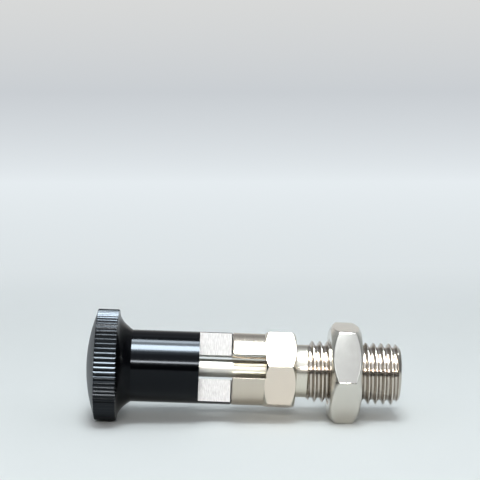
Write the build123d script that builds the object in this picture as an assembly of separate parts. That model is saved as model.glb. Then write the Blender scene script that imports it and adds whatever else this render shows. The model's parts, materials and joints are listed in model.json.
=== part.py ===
"""Indexing plunger with a rest position, lying on a flat surface with its pin drawn back.

A threaded housing guides a spring-loaded pin that a knurled knob draws back. Two tongues on
the knob slide in a cross slot of the housing. Drawn clear of the slot and turned a quarter
turn, the tongues land on the ends of the housing's two prongs and hold the pin inside.

Every piece is built along its own axis, which is +X with the seat of the hexagon at x = 0,
the thread on the plus side and the knob on the minus side. The finished pieces are then
laid on the surface z = 0, where the knob's rim and one flat of the lock nut carry them.
All sizes are in millimetres.
"""
from build123d import *
from math import atan, cos, degrees, hypot, pi, radians, sin, sqrt, tan
import os

# Threaded housing, outside
THREAD_DIAMETER = 12.0  # M12 x 1.5
THREAD_REACH = 20.4  # from the seat to the end of the thread
THREAD_LEAD = 0.95  # 45 degree chamfer at the end of the thread
NECK_DIAMETER = 10.1
NECK_LENGTH = 2.2  # runs out to the thread at 45 degrees
HEX_ACROSS_FLATS = 14.0
HEX_LENGTH = 6.1
SEAT_DIAMETER = 13.8  # flat ring that seats when the housing is screwed home
PRONG_DIAMETER = 14.0
PRONG_LENGTH = 6.2
PRONG_EDGE_BREAK = 0.2
CORNER_CHAMFER_ANGLE = 30.0  # degrees, on the hexagon and on the nut

# Threaded housing, inside
SLOT_WIDTH = 4.5
SLOT_DEPTH = 6.5
SLOT_LIP_BREAK = 0.15
REAR_BORE_DIAMETER = 6.4
REAR_WALL = 2.0  # wall between the slot and the guide bore
GUIDE_MOUTH_CHAMFER = 0.7

# Lock nut
NUT_ACROSS_FLATS = 18.0
NUT_THICKNESS = 6.0
NUT_FACE_DIAMETER = 16.6
NUT_COUNTERSINK = 0.5
NUT_DISTANCE = 6.6  # from the seat to the nut

# Locking pin
PIN_DIAMETER = 6.0
PIN_HEAD_LENGTH = 19.0
PIN_PROJECTION = 6.0  # beyond the thread when the pin is engaged
NOSE_BULGE = 0.03  # nose radius beyond the pin's own, which leaves a faint edge
TAIL_DIAMETER = 3.5
TAIL_CHAMFER = 0.3

# Spring
WIRE_DIAMETER = 0.5
WIRE_SIDES = 6  # the round wire is drawn with this many flats
SPRING_MEAN_DIAMETER = 4.9
SPRING_COILS = 4

# Knob
SLEEVE_DIAMETER = 14.0
SLEEVE_LENGTH = 13.1
SLEEVE_EDGE_BREAK = 0.15
TONGUE_LENGTH = 6.4
KNOB_BORE_DIAMETER = 6.4
KNOB_BORE_DEPTH = 4.0  # behind the sleeve's shoulder
TAIL_GRIP_LENGTH = 8.0  # tail pressed in the knob beyond the bore
FLARE_LENGTH = 2.7
FLARE_SLEEVE_SLOPE = 32.0  # degrees from the axis where the flare leaves the sleeve
FLARE_RIM_SLOPE = 80.0  # degrees from the axis where it meets the rim
RIM_DIAMETER = 21.6
RIM_WIDTH = 4.2
RIM_CHAMFER = 0.2
RIM_LAND = 0.25  # flat ring left inside each chamfer of the rim
DOME_HEIGHT = 1.9
KNURL_COUNT = 70
KNURL_DEPTH = 0.36
KNURL_CREST = 0.3  # width of a rib's top

# Clearances between pieces
PIN_CLEARANCE = 0.03  # radial, pin in the guide bore
TAIL_CLEARANCE = 0.08  # radial, tail in the rear wall
NUT_CLEARANCE = 0.03  # radial, nut on the thread
TONGUE_CLEARANCE = 0.05  # each side of a tongue in the slot
REST_CLEARANCE = 0.03  # tongue ends to prong ends

# How it lies
KNOB_TURN = 90.0  # degrees between the tongues and the slot
HOUSING_ROLL = -16.9  # degrees about the axis, away from a level slot

# Stations along the axis
PRONG_END = -(HEX_LENGTH + PRONG_LENGTH)
SLOT_BOTTOM = PRONG_END + SLOT_DEPTH
GUIDE_BOTTOM = SLOT_BOTTOM + REAR_WALL
TONGUE_END = PRONG_END - REST_CLEARANCE
SHOULDER = TONGUE_END - TONGUE_LENGTH
SLEEVE_END = SHOULDER - SLEEVE_LENGTH
RIM_FRONT = SLEEVE_END - FLARE_LENGTH
RIM_BACK = RIM_FRONT - RIM_WIDTH
KNOB_END = RIM_BACK - DOME_HEIGHT
STROKE = SLOT_DEPTH + REST_CLEARANCE
PIN_TIP = THREAD_REACH + PIN_PROJECTION - STROKE
PIN_SHOULDER = PIN_TIP - PIN_HEAD_LENGTH
TAIL_END = SHOULDER - KNOB_BORE_DEPTH - TAIL_GRIP_LENGTH
SPRING_SPACE = PIN_SHOULDER - GUIDE_BOTTOM
NUT_BACK = NUT_DISTANCE + NUT_THICKNESS

CHAMFER_SLOPE = tan(radians(CORNER_CHAMFER_ANGLE))


def turned(outline):
    """Solid of revolution about the X axis, from a closed outline of (x, radius) points."""
    return revolve(Plane.XZ * make_face(Polyline(*outline, close=True)), Axis.X)


def hexagon(across_flats, start, end):
    """Hexagonal bar from start to end, with corners towards +Y and -Y."""
    outline = RegularPolygon(across_flats / sqrt(3), 6)
    return extrude(Plane.YZ.offset(start) * outline, end - start)


def chamfer_depth(across_flats, face_diameter):
    """Length along the axis of a corner chamfer at the hexagon's corners."""
    return (across_flats / sqrt(3) - face_diameter / 2) * CHAMFER_SLOPE


def chamfered_hexagon(across_flats, start, end, start_diameter, end_diameter):
    """Hexagonal bar whose corners are turned off towards a round face at each end."""
    corner_radius = across_flats / sqrt(3)
    turned_blank = turned(
        [
            (start, 0),
            (start, start_diameter / 2),
            (start + chamfer_depth(across_flats, start_diameter), corner_radius),
            (end - chamfer_depth(across_flats, end_diameter), corner_radius),
            (end, end_diameter / 2),
            (end, 0),
        ]
    )
    return hexagon(across_flats, start, end) & turned_blank


def housing_blank():
    """Prongs, hexagon, neck and thread, still solid."""
    thread_radius = THREAD_DIAMETER / 2
    neck_radius = NECK_DIAMETER / 2
    prong_radius = PRONG_DIAMETER / 2
    prongs = turned(
        [
            (PRONG_END, 0),
            (PRONG_END, prong_radius - PRONG_EDGE_BREAK),
            (PRONG_END + PRONG_EDGE_BREAK, prong_radius),
            (-HEX_LENGTH, prong_radius),
            (-HEX_LENGTH, 0),
        ]
    )
    collar = chamfered_hexagon(HEX_ACROSS_FLATS, -HEX_LENGTH, 0, PRONG_DIAMETER, SEAT_DIAMETER)
    thread = turned(
        [
            (0, 0),
            (0, neck_radius),
            (NECK_LENGTH, neck_radius),
            (NECK_LENGTH + thread_radius - neck_radius, thread_radius),
            (THREAD_REACH - THREAD_LEAD, thread_radius),
            (THREAD_REACH, thread_radius - THREAD_LEAD),
            (THREAD_REACH, 0),
        ]
    )
    return prongs + collar + thread


def housing_bores():
    """Rear bore, tail hole and guide bore with its chamfered mouth."""
    rear_radius = REAR_BORE_DIAMETER / 2
    tail_radius = TAIL_DIAMETER / 2 + TAIL_CLEARANCE
    guide_radius = PIN_DIAMETER / 2 + PIN_CLEARANCE
    return turned(
        [
            (PRONG_END, 0),
            (PRONG_END, rear_radius),
            (SLOT_BOTTOM, rear_radius),
            (SLOT_BOTTOM, tail_radius),
            (GUIDE_BOTTOM, tail_radius),
            (GUIDE_BOTTOM, guide_radius),
            (THREAD_REACH - GUIDE_MOUTH_CHAMFER, guide_radius),
            (THREAD_REACH, guide_radius + GUIDE_MOUTH_CHAMFER),
            (THREAD_REACH, 0),
        ]
    )


def cross_slot():
    """Slot across the rear end along Y, which parts the two prongs."""
    mouth = Plane.YZ.offset(PRONG_END) * Rectangle(2 * PRONG_DIAMETER, SLOT_WIDTH)
    return extrude(mouth, SLOT_DEPTH)


def slot_lips(housing):
    """The four long edges where the slot leaves the round outside of the prongs."""
    reach = PRONG_DIAMETER / 2 - SLOT_LIP_BREAK
    lengthwise = housing.edges().filter_by(Axis.X)
    outer = lengthwise.filter_by(lambda edge: hypot(edge.center().Y, edge.center().Z) > reach)
    return outer.filter_by(lambda edge: edge.center().X < -HEX_LENGTH)


def threaded_body():
    """Housing that screws into the fixture, slotted across its rear end."""
    housing = housing_blank() - housing_bores() - cross_slot()
    return chamfer(slot_lips(housing), SLOT_LIP_BREAK)


def lock_nut():
    """Thin hexagon nut that locks the housing in its hole, one flat facing down."""
    bore_radius = THREAD_DIAMETER / 2 + NUT_CLEARANCE
    blank = chamfered_hexagon(
        NUT_ACROSS_FLATS, NUT_DISTANCE, NUT_BACK, NUT_FACE_DIAMETER, NUT_FACE_DIAMETER
    )
    bore = turned(
        [
            (NUT_DISTANCE, 0),
            (NUT_DISTANCE, bore_radius + NUT_COUNTERSINK),
            (NUT_DISTANCE + NUT_COUNTERSINK, bore_radius),
            (NUT_BACK - NUT_COUNTERSINK, bore_radius),
            (NUT_BACK, bore_radius + NUT_COUNTERSINK),
            (NUT_BACK, 0),
        ]
    )
    return blank - bore


def locking_pin():
    """Round-nosed pin with a thinner tail that carries the knob."""
    pin_radius = PIN_DIAMETER / 2
    tail_radius = TAIL_DIAMETER / 2
    nose_radius = pin_radius + NOSE_BULGE
    nose_start = PIN_TIP - nose_radius + sqrt(nose_radius**2 - pin_radius**2)
    outline = Polyline(
        (PIN_TIP, 0),
        (TAIL_END, 0),
        (TAIL_END, tail_radius - TAIL_CHAMFER),
        (TAIL_END + TAIL_CHAMFER, tail_radius),
        (PIN_SHOULDER, tail_radius),
        (PIN_SHOULDER, pin_radius),
        (nose_start, pin_radius),
    )
    nose = RadiusArc((nose_start, pin_radius), (PIN_TIP, 0), nose_radius)
    return revolve(Plane.XZ * make_face(outline + nose), Axis.X)


def compression_spring():
    """Spring between the rear wall and the pin's shoulder, with its end coils ground flat."""
    helix = Helix(SPRING_SPACE / SPRING_COILS, SPRING_SPACE, SPRING_MEAN_DIAMETER / 2)
    wire_section = Plane(helix @ 0, z_dir=helix % 0) * RegularPolygon(WIRE_DIAMETER / 2, WIRE_SIDES)
    coil = sweep(wire_section, helix, is_frenet=True)
    between_faces = extrude(Circle(SPRING_MEAN_DIAMETER), SPRING_SPACE)
    return Plane.YZ.offset(GUIDE_BOTTOM) * (coil & between_faces)


def lowest_rib():
    """Angle in degrees from +Y towards +Z of the rib that faces down as the knob lies."""
    return -90 - HOUSING_ROLL - KNOB_TURN


def knurled_disc():
    """Toothed disc whose V grooves make the knurl, with teeth that stand proud of the rim."""
    rim_radius = RIM_DIAMETER / 2
    pitch_angle = 2 * pi / KNURL_COUNT
    groove_angle = (pitch_angle - KNURL_CREST / rim_radius) / 2
    proud = KNURL_DEPTH / 4
    half_tooth = pitch_angle / 2 - groove_angle * (KNURL_DEPTH + proud) / KNURL_DEPTH
    outline = []
    for rib in range(KNURL_COUNT):
        middle = radians(lowest_rib()) + rib * pitch_angle
        for angle, radius in (
            (middle - half_tooth, rim_radius + proud),
            (middle + half_tooth, rim_radius + proud),
            (middle + pitch_angle / 2, rim_radius - KNURL_DEPTH),
        ):
            outline.append((radius * cos(angle), radius * sin(angle)))
    face = make_face(Polyline(*outline, close=True))
    return extrude(Plane.YZ.offset(RIM_BACK) * face, RIM_WIDTH)


def rim_envelope():
    """What the knurl is trimmed to: one narrow flat for each rib, and both edges chamfered."""
    first_corner = lowest_rib() + 180 / KNURL_COUNT
    outline = RegularPolygon(RIM_DIAMETER / 2, KNURL_COUNT, major_radius=False, rotation=first_corner)
    blank = extrude(Plane.YZ.offset(RIM_BACK) * outline, RIM_WIDTH)
    return chamfer(blank.faces().filter_by(Axis.X).edges(), RIM_CHAMFER)


def rim_land_radius():
    """Inner radius of the flat rings on the rim, where the dome and the flare begin."""
    return RIM_DIAMETER / 2 - RIM_CHAMFER - RIM_LAND


def dome_radius():
    """Radius of the sphere that the crown is part of."""
    return (rim_land_radius() ** 2 + DOME_HEIGHT**2) / (2 * DOME_HEIGHT)


def dome():
    """Shallow crown on the knob's end, cut from its sphere by the plane of the rim's back."""
    ball = Pos(KNOB_END + dome_radius(), 0, 0) * Sphere(dome_radius())
    behind_rim = extrude(Plane.YZ.offset(RIM_BACK) * Circle(RIM_DIAMETER), -2 * DOME_HEIGHT)
    return ball & behind_rim


def flare_corner(start, end):
    """Point where the slopes of the flare's two ends meet, which shapes its curve."""
    sleeve_slope = tan(radians(FLARE_SLEEVE_SLOPE))
    rim_slope = tan(radians(FLARE_RIM_SLOPE))
    before_rim = (end.Y - start.Y - sleeve_slope * FLARE_LENGTH) / (rim_slope - sleeve_slope)
    return Vector(end.X + before_rim, end.Y - rim_slope * before_rim)


def flared_sleeve():
    """Round sleeve with a hollow flare that runs out to the rim."""
    sleeve_radius = SLEEVE_DIAMETER / 2
    flare_start = Vector(SLEEVE_END, sleeve_radius)
    flare_end = Vector(RIM_FRONT, rim_land_radius())
    flare = Bezier(flare_start, flare_corner(flare_start, flare_end), flare_end)
    rest = Polyline(
        flare_end,
        (RIM_FRONT, 0),
        (TONGUE_END, 0),
        (TONGUE_END, sleeve_radius - SLEEVE_EDGE_BREAK),
        (TONGUE_END - SLEEVE_EDGE_BREAK, sleeve_radius),
        flare_start,
    )
    return revolve(Plane.XZ * make_face(flare + rest), Axis.X)


def tongue_cheeks():
    """What is milled off each side of the two tongues, down to the sleeve's shoulder."""
    thickness = SLOT_WIDTH - 2 * TONGUE_CLEARANCE
    width = 2 * SLEEVE_DIAMETER
    milled = Rectangle(width, width) - Rectangle(width, thickness)
    return extrude(Plane.YZ.offset(SHOULDER) * milled, TONGUE_END - SHOULDER)


def knob_bores():
    """Bore that clears the tail, and the blind hole that grips it."""
    bore_radius = KNOB_BORE_DIAMETER / 2
    grip_radius = TAIL_DIAMETER / 2
    bore_end = SHOULDER - KNOB_BORE_DEPTH
    return turned(
        [
            (TONGUE_END, 0),
            (TONGUE_END, bore_radius),
            (bore_end, bore_radius),
            (bore_end, grip_radius),
            (TAIL_END, grip_radius),
            (TAIL_END, 0),
        ]
    )


def knob():
    """One turned and milled piece: domed end, knurled rim, flare, sleeve and two tongues."""
    rim = knurled_disc() & rim_envelope()
    return rim + dome() + flared_sleeve() - tongue_cheeks() - knob_bores()


def resting_tilt():
    """Angle in degrees at which the rim and a flat of the nut touch one surface together."""
    rim_radius = RIM_DIAMETER / 2
    nut_radius = NUT_ACROSS_FLATS / 2
    flat_end = NUT_BACK - (nut_radius - NUT_FACE_DIAMETER / 2) * CHAMFER_SLOPE
    rim_edge = RIM_FRONT - RIM_CHAMFER
    return degrees(atan((rim_radius - nut_radius) / (flat_end - rim_edge)))


def laid_down():
    """The move that tilts the axis and puts z = 0 under the rim and x = 0 halfway along."""
    tilt = radians(resting_tilt())
    rim_edge = RIM_FRONT - RIM_CHAMFER
    axis_height = RIM_DIAMETER / 2 * cos(tilt) + rim_edge * sin(tilt)
    thread_face_radius = THREAD_DIAMETER / 2 - THREAD_LEAD
    thread_side = THREAD_REACH * cos(tilt) + thread_face_radius * sin(tilt)
    knob_side = (KNOB_END + dome_radius()) * cos(tilt) - dome_radius()
    middle = (thread_side + knob_side) / 2
    return Pos(-middle, 0, axis_height) * Rot(0, resting_tilt(), 0)


def main():
    lay = laid_down()
    rolled = lay * Rot(HOUSING_ROLL, 0, 0)
    parked = rolled * Rot(KNOB_TURN, 0, 0)
    pieces = {
        "threaded_body": rolled * threaded_body(),
        "lock_nut": lay * lock_nut(),
        "locking_pin": parked * locking_pin(),
        "spring": parked * compression_spring(),
        "knob": parked * knob(),
    }
    os.makedirs("parts", exist_ok=True)
    for name, piece in pieces.items():
        export_step(piece, f"parts/{name}.step")


main()
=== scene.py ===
"""Finished look of an indexing plunger that lies with its pin drawn back.

Each sub-assembly is a class whose fields are its sizes in millimetres, measured along and
around the plunger's own axis, with x = 0 at the seat of the hexagon, the thread on the plus
side and the knob on the minus side. The meshes are made in that space and then laid down in
the room, in metres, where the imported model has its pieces.
"""
import json
import logging
import math
from dataclasses import dataclass, field
from enum import Enum, IntEnum
from typing import Callable, Iterable, Sequence

import bmesh
import bpy
import numpy as np
from mathutils import Matrix, Vector


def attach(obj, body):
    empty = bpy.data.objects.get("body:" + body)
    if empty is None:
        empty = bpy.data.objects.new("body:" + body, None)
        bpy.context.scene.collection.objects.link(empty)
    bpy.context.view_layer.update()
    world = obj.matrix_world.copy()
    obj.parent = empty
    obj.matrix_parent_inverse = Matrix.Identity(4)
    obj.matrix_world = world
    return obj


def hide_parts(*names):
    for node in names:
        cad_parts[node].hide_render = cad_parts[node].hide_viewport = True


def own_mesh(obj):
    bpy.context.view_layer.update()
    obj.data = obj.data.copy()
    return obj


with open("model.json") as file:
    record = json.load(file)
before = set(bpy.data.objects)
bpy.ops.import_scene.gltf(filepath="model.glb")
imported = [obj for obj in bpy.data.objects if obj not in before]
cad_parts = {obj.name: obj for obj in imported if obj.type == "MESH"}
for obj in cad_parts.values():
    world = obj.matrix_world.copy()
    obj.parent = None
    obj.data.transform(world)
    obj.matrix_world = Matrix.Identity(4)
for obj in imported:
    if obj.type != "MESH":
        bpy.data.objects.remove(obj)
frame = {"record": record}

LOG = logging.getLogger("indexing_plunger")
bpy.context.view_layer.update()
MM = 0.001
SIXTH = math.pi / 3  # one side of a hexagon, as an angle
MERGE_DISTANCE = 0.0005  # mm, closes seams and poles
SHARP_ANGLE = math.radians(24.0)
SIDE_SHARE = 0.49  # the most of an outline's side that one fillet takes
STRAIGHT = 1e-4  # radians, a turn in an outline that needs no fillet
PAST = 2.0  # mm, how far a cutter reaches past the piece

# Stations and a radius that two pieces share, in mm
NOSE_STATION = 19.87
PIN_SHOULDER = 0.87
GUIDE_BOTTOM = -3.8
TAIL_END = -30.73
TAIL_RADIUS = 1.75

Color = tuple[float, float, float]
Span = tuple[float, float]
Outline = list[tuple[float, float]]
Corners = Sequence[tuple[float, float, float]]
Tone = tuple[float, Color]
Inputs = dict[str | int, object]
Region = Callable[[Vector, Vector], int]


# --------------------------------------------------------------------------------------
# The plunger's own axis
# --------------------------------------------------------------------------------------


@dataclass(frozen=True)
class Lay:
    """How the plunger lies in the room.

    Args:
        nose_station: Where the pin's nose is along the axis, in mm.
        housing_roll: Turn of the housing about the axis, in degrees.
        knob_turn: Turn of the knob and pin beyond the housing's, in degrees.
    """

    nose_station: float = NOSE_STATION
    housing_roll: float = -16.9
    knob_turn: float = 90.0

    def level(self) -> Matrix:
        """Matrix from the axis space in mm to the room in metres, with no roll.

        Returns:
            The matrix.
        """
        nose = next(m for m in frame["record"]["mounts"] if m["name"] == "pin_nose")
        along = Vector(nose["axis"]).normalized()
        side = Vector((0.0, 1.0, 0.0))
        turn = Matrix((along, side, along.cross(side))).transposed().to_4x4()
        origin = Vector(nose["pos_m"]) - along * self.nose_station * MM
        return Matrix.Translation(origin) @ turn @ Matrix.Scale(MM, 4)

    def housing(self) -> Matrix:
        """Matrix of the housing, whose slot lies along its own Y."""
        return self.level() @ Matrix.Rotation(math.radians(self.housing_roll), 4, "X")

    def knob(self) -> Matrix:
        """Matrix of the knob and the pin, whose tongues lie along their own Y."""
        return self.housing() @ Matrix.Rotation(math.radians(self.knob_turn), 4, "X")


LAY = Lay()


# --------------------------------------------------------------------------------------
# Mesh tools
# --------------------------------------------------------------------------------------


def bend(start: Vector, corner: Vector, end: Vector, steps: int) -> Outline:
    """Smooth curve that leaves its start towards a corner and comes to its end from there.

    Args:
        start: Where it starts.
        corner: The corner, which it passes on the inside.
        end: Where it ends.
        steps: Chords in it.

    Returns:
        (x, radius) of each point.
    """
    curve = []
    for step in range(steps + 1):
        share = step / steps
        point = start.lerp(corner, share).lerp(corner.lerp(end, share), share)
        curve.append((point.x, point.y))
    return curve


def filleted(corners: Corners, steps: int = 3) -> Outline:
    """Outline with round corners and the same number of points whatever its sizes.

    Args:
        corners: (x, radius, fillet) of each corner. The fillet is cut down where a side is short.
        steps: Chords in each fillet.

    Returns:
        (x, radius) of each point.
    """
    places = [Vector(corner[:2]) for corner in corners]
    points: Outline = []
    for index, (x, radius, fillet) in enumerate(corners):
        if fillet == 0 or index in (0, len(corners) - 1):
            points.append((x, radius))
            continue
        here = places[index]
        back, ahead = places[index - 1] - here, places[index + 1] - here
        room = min(back.length, ahead.length) * SIDE_SHARE
        turn = math.pi - back.angle(ahead, math.pi)
        reach = min(fillet * math.tan(turn / 2), room) if turn > STRAIGHT else 0.0
        points += bend(here + back.normalized() * reach, here, here + ahead.normalized() * reach, steps)
    return points


def even_angles(count: int) -> np.ndarray:
    """Angles in radians of count points evenly spaced round the axis, from +Y towards +Z."""
    return np.arange(count) * 2 * math.pi / count


def surface(
    x: np.ndarray, radius: np.ndarray, angles: np.ndarray, whole_turn: bool = True
) -> bpy.types.Mesh:
    """Quad mesh of rows along the axis and columns round it.

    Args:
        x: Station of each point, shaped (rows, columns) or (rows, 1).
        radius: Radius of each point, shaped alike.
        angles: Angle of each column.
        whole_turn: Whether the last column joins the first.

    Returns:
        The mesh. Its poles and any repeated rows are still to be merged.
    """
    rows, columns = x.shape[0], len(angles)
    x = np.broadcast_to(x, (rows, columns))
    radius = np.broadcast_to(radius, (rows, columns))
    points = np.stack([x, radius * np.cos(angles), radius * np.sin(angles)], axis=-1).reshape(-1, 3)
    row = np.arange(rows - 1)[:, None] * columns
    column = np.arange(columns if whole_turn else columns - 1)
    here, beside = row + column, row + (column + 1) % columns
    quads = np.stack([here, beside, beside + columns, here + columns], axis=-1).reshape(-1, 4)
    mesh = bpy.data.meshes.new("surface")
    mesh.from_pydata(points.tolist(), [], quads.tolist())
    return mesh


def lathe(outline: Outline, angles: np.ndarray) -> bpy.types.Mesh:
    """Surface of revolution of an (x, radius) outline."""
    line = np.array(outline)
    return surface(line[:, :1], line[:, 1:], angles)


def columns_lathe(outlines: Iterable[Outline], angles: np.ndarray) -> bpy.types.Mesh:
    """Surface with an outline of its own for each angle, all with as many points."""
    lines = np.array(list(outlines)).transpose(1, 0, 2)
    return surface(lines[:, :, 0], lines[:, :, 1], angles)


def rounded_corner(across_flats: float, corner_fillet: float) -> tuple[float, float]:
    """Where a hexagon's rounded long edge has its centre and its end.

    Args:
        across_flats: Size across the flats.
        corner_fillet: Radius of its six long edges.

    Returns:
        The radius of the fillet's centre, and the angle from the edge's middle to its end.
    """
    centre = (across_flats / 2 - corner_fillet) / math.cos(SIXTH / 2)
    half = math.atan2(
        corner_fillet * math.sin(SIXTH / 2), centre + corner_fillet * math.cos(SIXTH / 2)
    )
    return centre, half


def hexagon_radius(angles: np.ndarray, across_flats: float, corner_fillet: float) -> np.ndarray:
    """Distance from the axis to a hexagon with corners on +Y and -Y.

    Args:
        angles: Angle of each column.
        across_flats: Size across the flats.
        corner_fillet: Radius of its six long edges.

    Returns:
        The radius at each angle.
    """
    from_corner = (angles + SIXTH / 2) % SIXTH - SIXTH / 2
    flat = across_flats / 2 / np.cos(SIXTH / 2 - np.abs(from_corner))
    centre, tangent = rounded_corner(across_flats, corner_fillet)
    offset = np.minimum(centre * np.abs(np.sin(from_corner)), corner_fillet)
    rounded = centre * np.cos(from_corner) + np.sqrt(corner_fillet**2 - offset**2)
    return np.where(np.abs(from_corner) < tangent, rounded, flat)


def hexagon_angles(
    across_flats: float, corner_fillet: float, steps: int = 3, spacing: int = 3
) -> np.ndarray:
    """Column angles for a hexagon, with extra columns over each rounded long edge.

    Args:
        across_flats: Size across the flats.
        corner_fillet: Radius of its six long edges.
        steps: Columns from the middle of a rounded edge to its end.
        spacing: Whole degrees between columns on the flats.

    Returns:
        The sorted angles in radians.
    """
    _, half = rounded_corner(across_flats, corner_fillet)
    extra = [half * step / steps for step in range(-steps, steps + 1)]
    clear = 1.5 * half  # how near a long edge the even columns come
    found = []
    for corner in range(6):
        middle = corner * SIXTH
        found += [middle + offset for offset in extra]
        for degree in range(spacing, 60, spacing):
            offset = math.radians(degree)
            if clear < offset < SIXTH - clear:
                found.append(middle + offset)
    return np.sort(np.array(found) % (2 * math.pi))


def linked(name: str, data: bpy.types.ID) -> bpy.types.Object:
    """New object in the scene.

    Args:
        name: Its name.
        data: Its mesh, lamp or camera.

    Returns:
        The object.
    """
    item = bpy.data.objects.new(name, data)
    bpy.context.scene.collection.objects.link(item)
    return item


def plain_mesh(name: str, work: bmesh.types.BMesh) -> bpy.types.Mesh:
    """Mesh of finished work, whose faces it turns outwards and whose space it frees.

    Args:
        name: Name of the mesh.
        work: The work, which is used up.

    Returns:
        The mesh.
    """
    bmesh.ops.recalc_face_normals(work, faces=work.faces)
    mesh = bpy.data.meshes.new(name)
    work.to_mesh(mesh)
    work.free()
    return mesh


def stitched(parts: Iterable[bpy.types.Mesh], bridges: Sequence[float] = ()) -> bpy.types.Mesh:
    """One closed mesh from several that share their rims.

    Args:
        parts: The meshes, which are used up.
        bridges: Stations of the flat rings that are left open between an inner and an outer rim.

    Returns:
        The merged mesh, with its faces pointing outwards.
    """
    work = bmesh.new()
    for part in parts:
        work.from_mesh(part)
        bpy.data.meshes.remove(part)
    bmesh.ops.remove_doubles(work, verts=work.verts, dist=MERGE_DISTANCE)
    for station in bridges:
        rim = [
            edge for edge in work.edges
            if edge.is_boundary and all(abs(vert.co.x - station) < MERGE_DISTANCE for vert in edge.verts)
        ]
        bmesh.ops.bridge_loops(work, edges=rim)
    return plain_mesh("stitched", work)


def prism(
    section: Sequence[tuple[float, float]], across: tuple[int, int], along: int, reach: float
) -> bpy.types.Mesh:
    """Straight prism, used as a cutter.

    Args:
        section: Corners of its section.
        across: Which two of x, y and z the section's numbers are.
        along: Which one it runs along.
        reach: How far it runs each way from zero.

    Returns:
        The closed mesh.
    """
    work = bmesh.new()
    rings = []
    for place in (-reach, reach):
        ring = []
        for first, second in section:
            point = [0.0, 0.0, 0.0]
            point[across[0]], point[across[1]], point[along] = first, second, place
            ring.append(work.verts.new(point))
        rings.append(ring)
    work.faces.new(rings[0])
    work.faces.new(rings[1])
    for index in range(len(section)):
        after = (index + 1) % len(section)
        work.faces.new((rings[0][index], rings[0][after], rings[1][after], rings[1][index]))
    return plain_mesh("cutter", work)


def cut(mesh: bpy.types.Mesh, cutter: bpy.types.Mesh) -> bpy.types.Mesh:
    """The mesh with the cutter's space taken away.

    Args:
        mesh: The mesh that is cut, which is used up.
        cutter: The mesh of the space that is taken away, which is used up.

    Returns:
        The cut mesh.
    """
    body, tool = linked("cut_body", mesh), linked("cut_tool", cutter)
    step = body.modifiers.new("cut", "BOOLEAN")
    step.operation = "DIFFERENCE"
    step.solver = "EXACT"
    step.object = tool
    result = evaluated_mesh(body)
    for item, data in ((body, mesh), (tool, cutter)):
        bpy.data.objects.remove(item)
        bpy.data.meshes.remove(data)
    return result


def evaluated_mesh(item: bpy.types.Object) -> bpy.types.Mesh:
    """Plain mesh of an object with its modifiers worked out.

    Args:
        item: The object.

    Returns:
        Its mesh with all its modifiers worked out.
    """
    bpy.context.view_layer.update()
    graph = bpy.context.evaluated_depsgraph_get()
    return bpy.data.meshes.new_from_object(item.evaluated_get(graph))


def tidied(mesh: bpy.types.Mesh) -> bpy.types.Mesh:
    """The mesh with leftover doubles merged and hair-thin faces dissolved.

    Args:
        mesh: The mesh, which is changed in place.

    Returns:
        The same mesh.
    """
    work = bmesh.new()
    work.from_mesh(mesh)
    bmesh.ops.remove_doubles(work, verts=work.verts, dist=MERGE_DISTANCE)
    bmesh.ops.dissolve_degenerate(work, edges=work.edges, dist=MERGE_DISTANCE)
    bmesh.ops.recalc_face_normals(work, faces=work.faces)
    work.to_mesh(mesh)
    work.free()
    return mesh


def finished_piece(
    name: str,
    mesh: bpy.types.Mesh,
    place: Matrix,
    materials: Sequence[bpy.types.Material],
    region: Region | None = None,
) -> bpy.types.Object:
    """Object at the room's origin with its place in its mesh.

    Args:
        name: Name of the piece.
        mesh: Its mesh in the axis space.
        place: Matrix to the room.
        materials: Its materials in order.
        region: Gives the material's number from a face's centre and normal in the axis space.

    Returns:
        The linked object, smooth but for its sharp edges.
    """
    mesh.name = name
    mesh.materials.clear()
    for material in materials:
        mesh.materials.append(material)
    indices = [region(face.center, face.normal) if region else 0 for face in mesh.polygons]
    mesh.polygons.foreach_set("material_index", indices)
    mesh.transform(place)
    mesh.polygons.foreach_set("use_smooth", [True] * len(mesh.polygons))
    mesh.set_sharp_from_angle(angle=SHARP_ANGLE)
    mesh.update()
    return linked(name, mesh)


def report(piece: bpy.types.Object) -> None:
    """Logs a finished piece with its size in mm and its triangles.

    Args:
        piece: The finished piece.
    """
    piece.data.calc_loop_triangles()
    size = [round(side / MM, 1) for side in piece.dimensions]
    LOG.info("%s: %s mm, %d triangles", piece.name, size, len(piece.data.loop_triangles))


# --------------------------------------------------------------------------------------
# Node trees
# --------------------------------------------------------------------------------------


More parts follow.
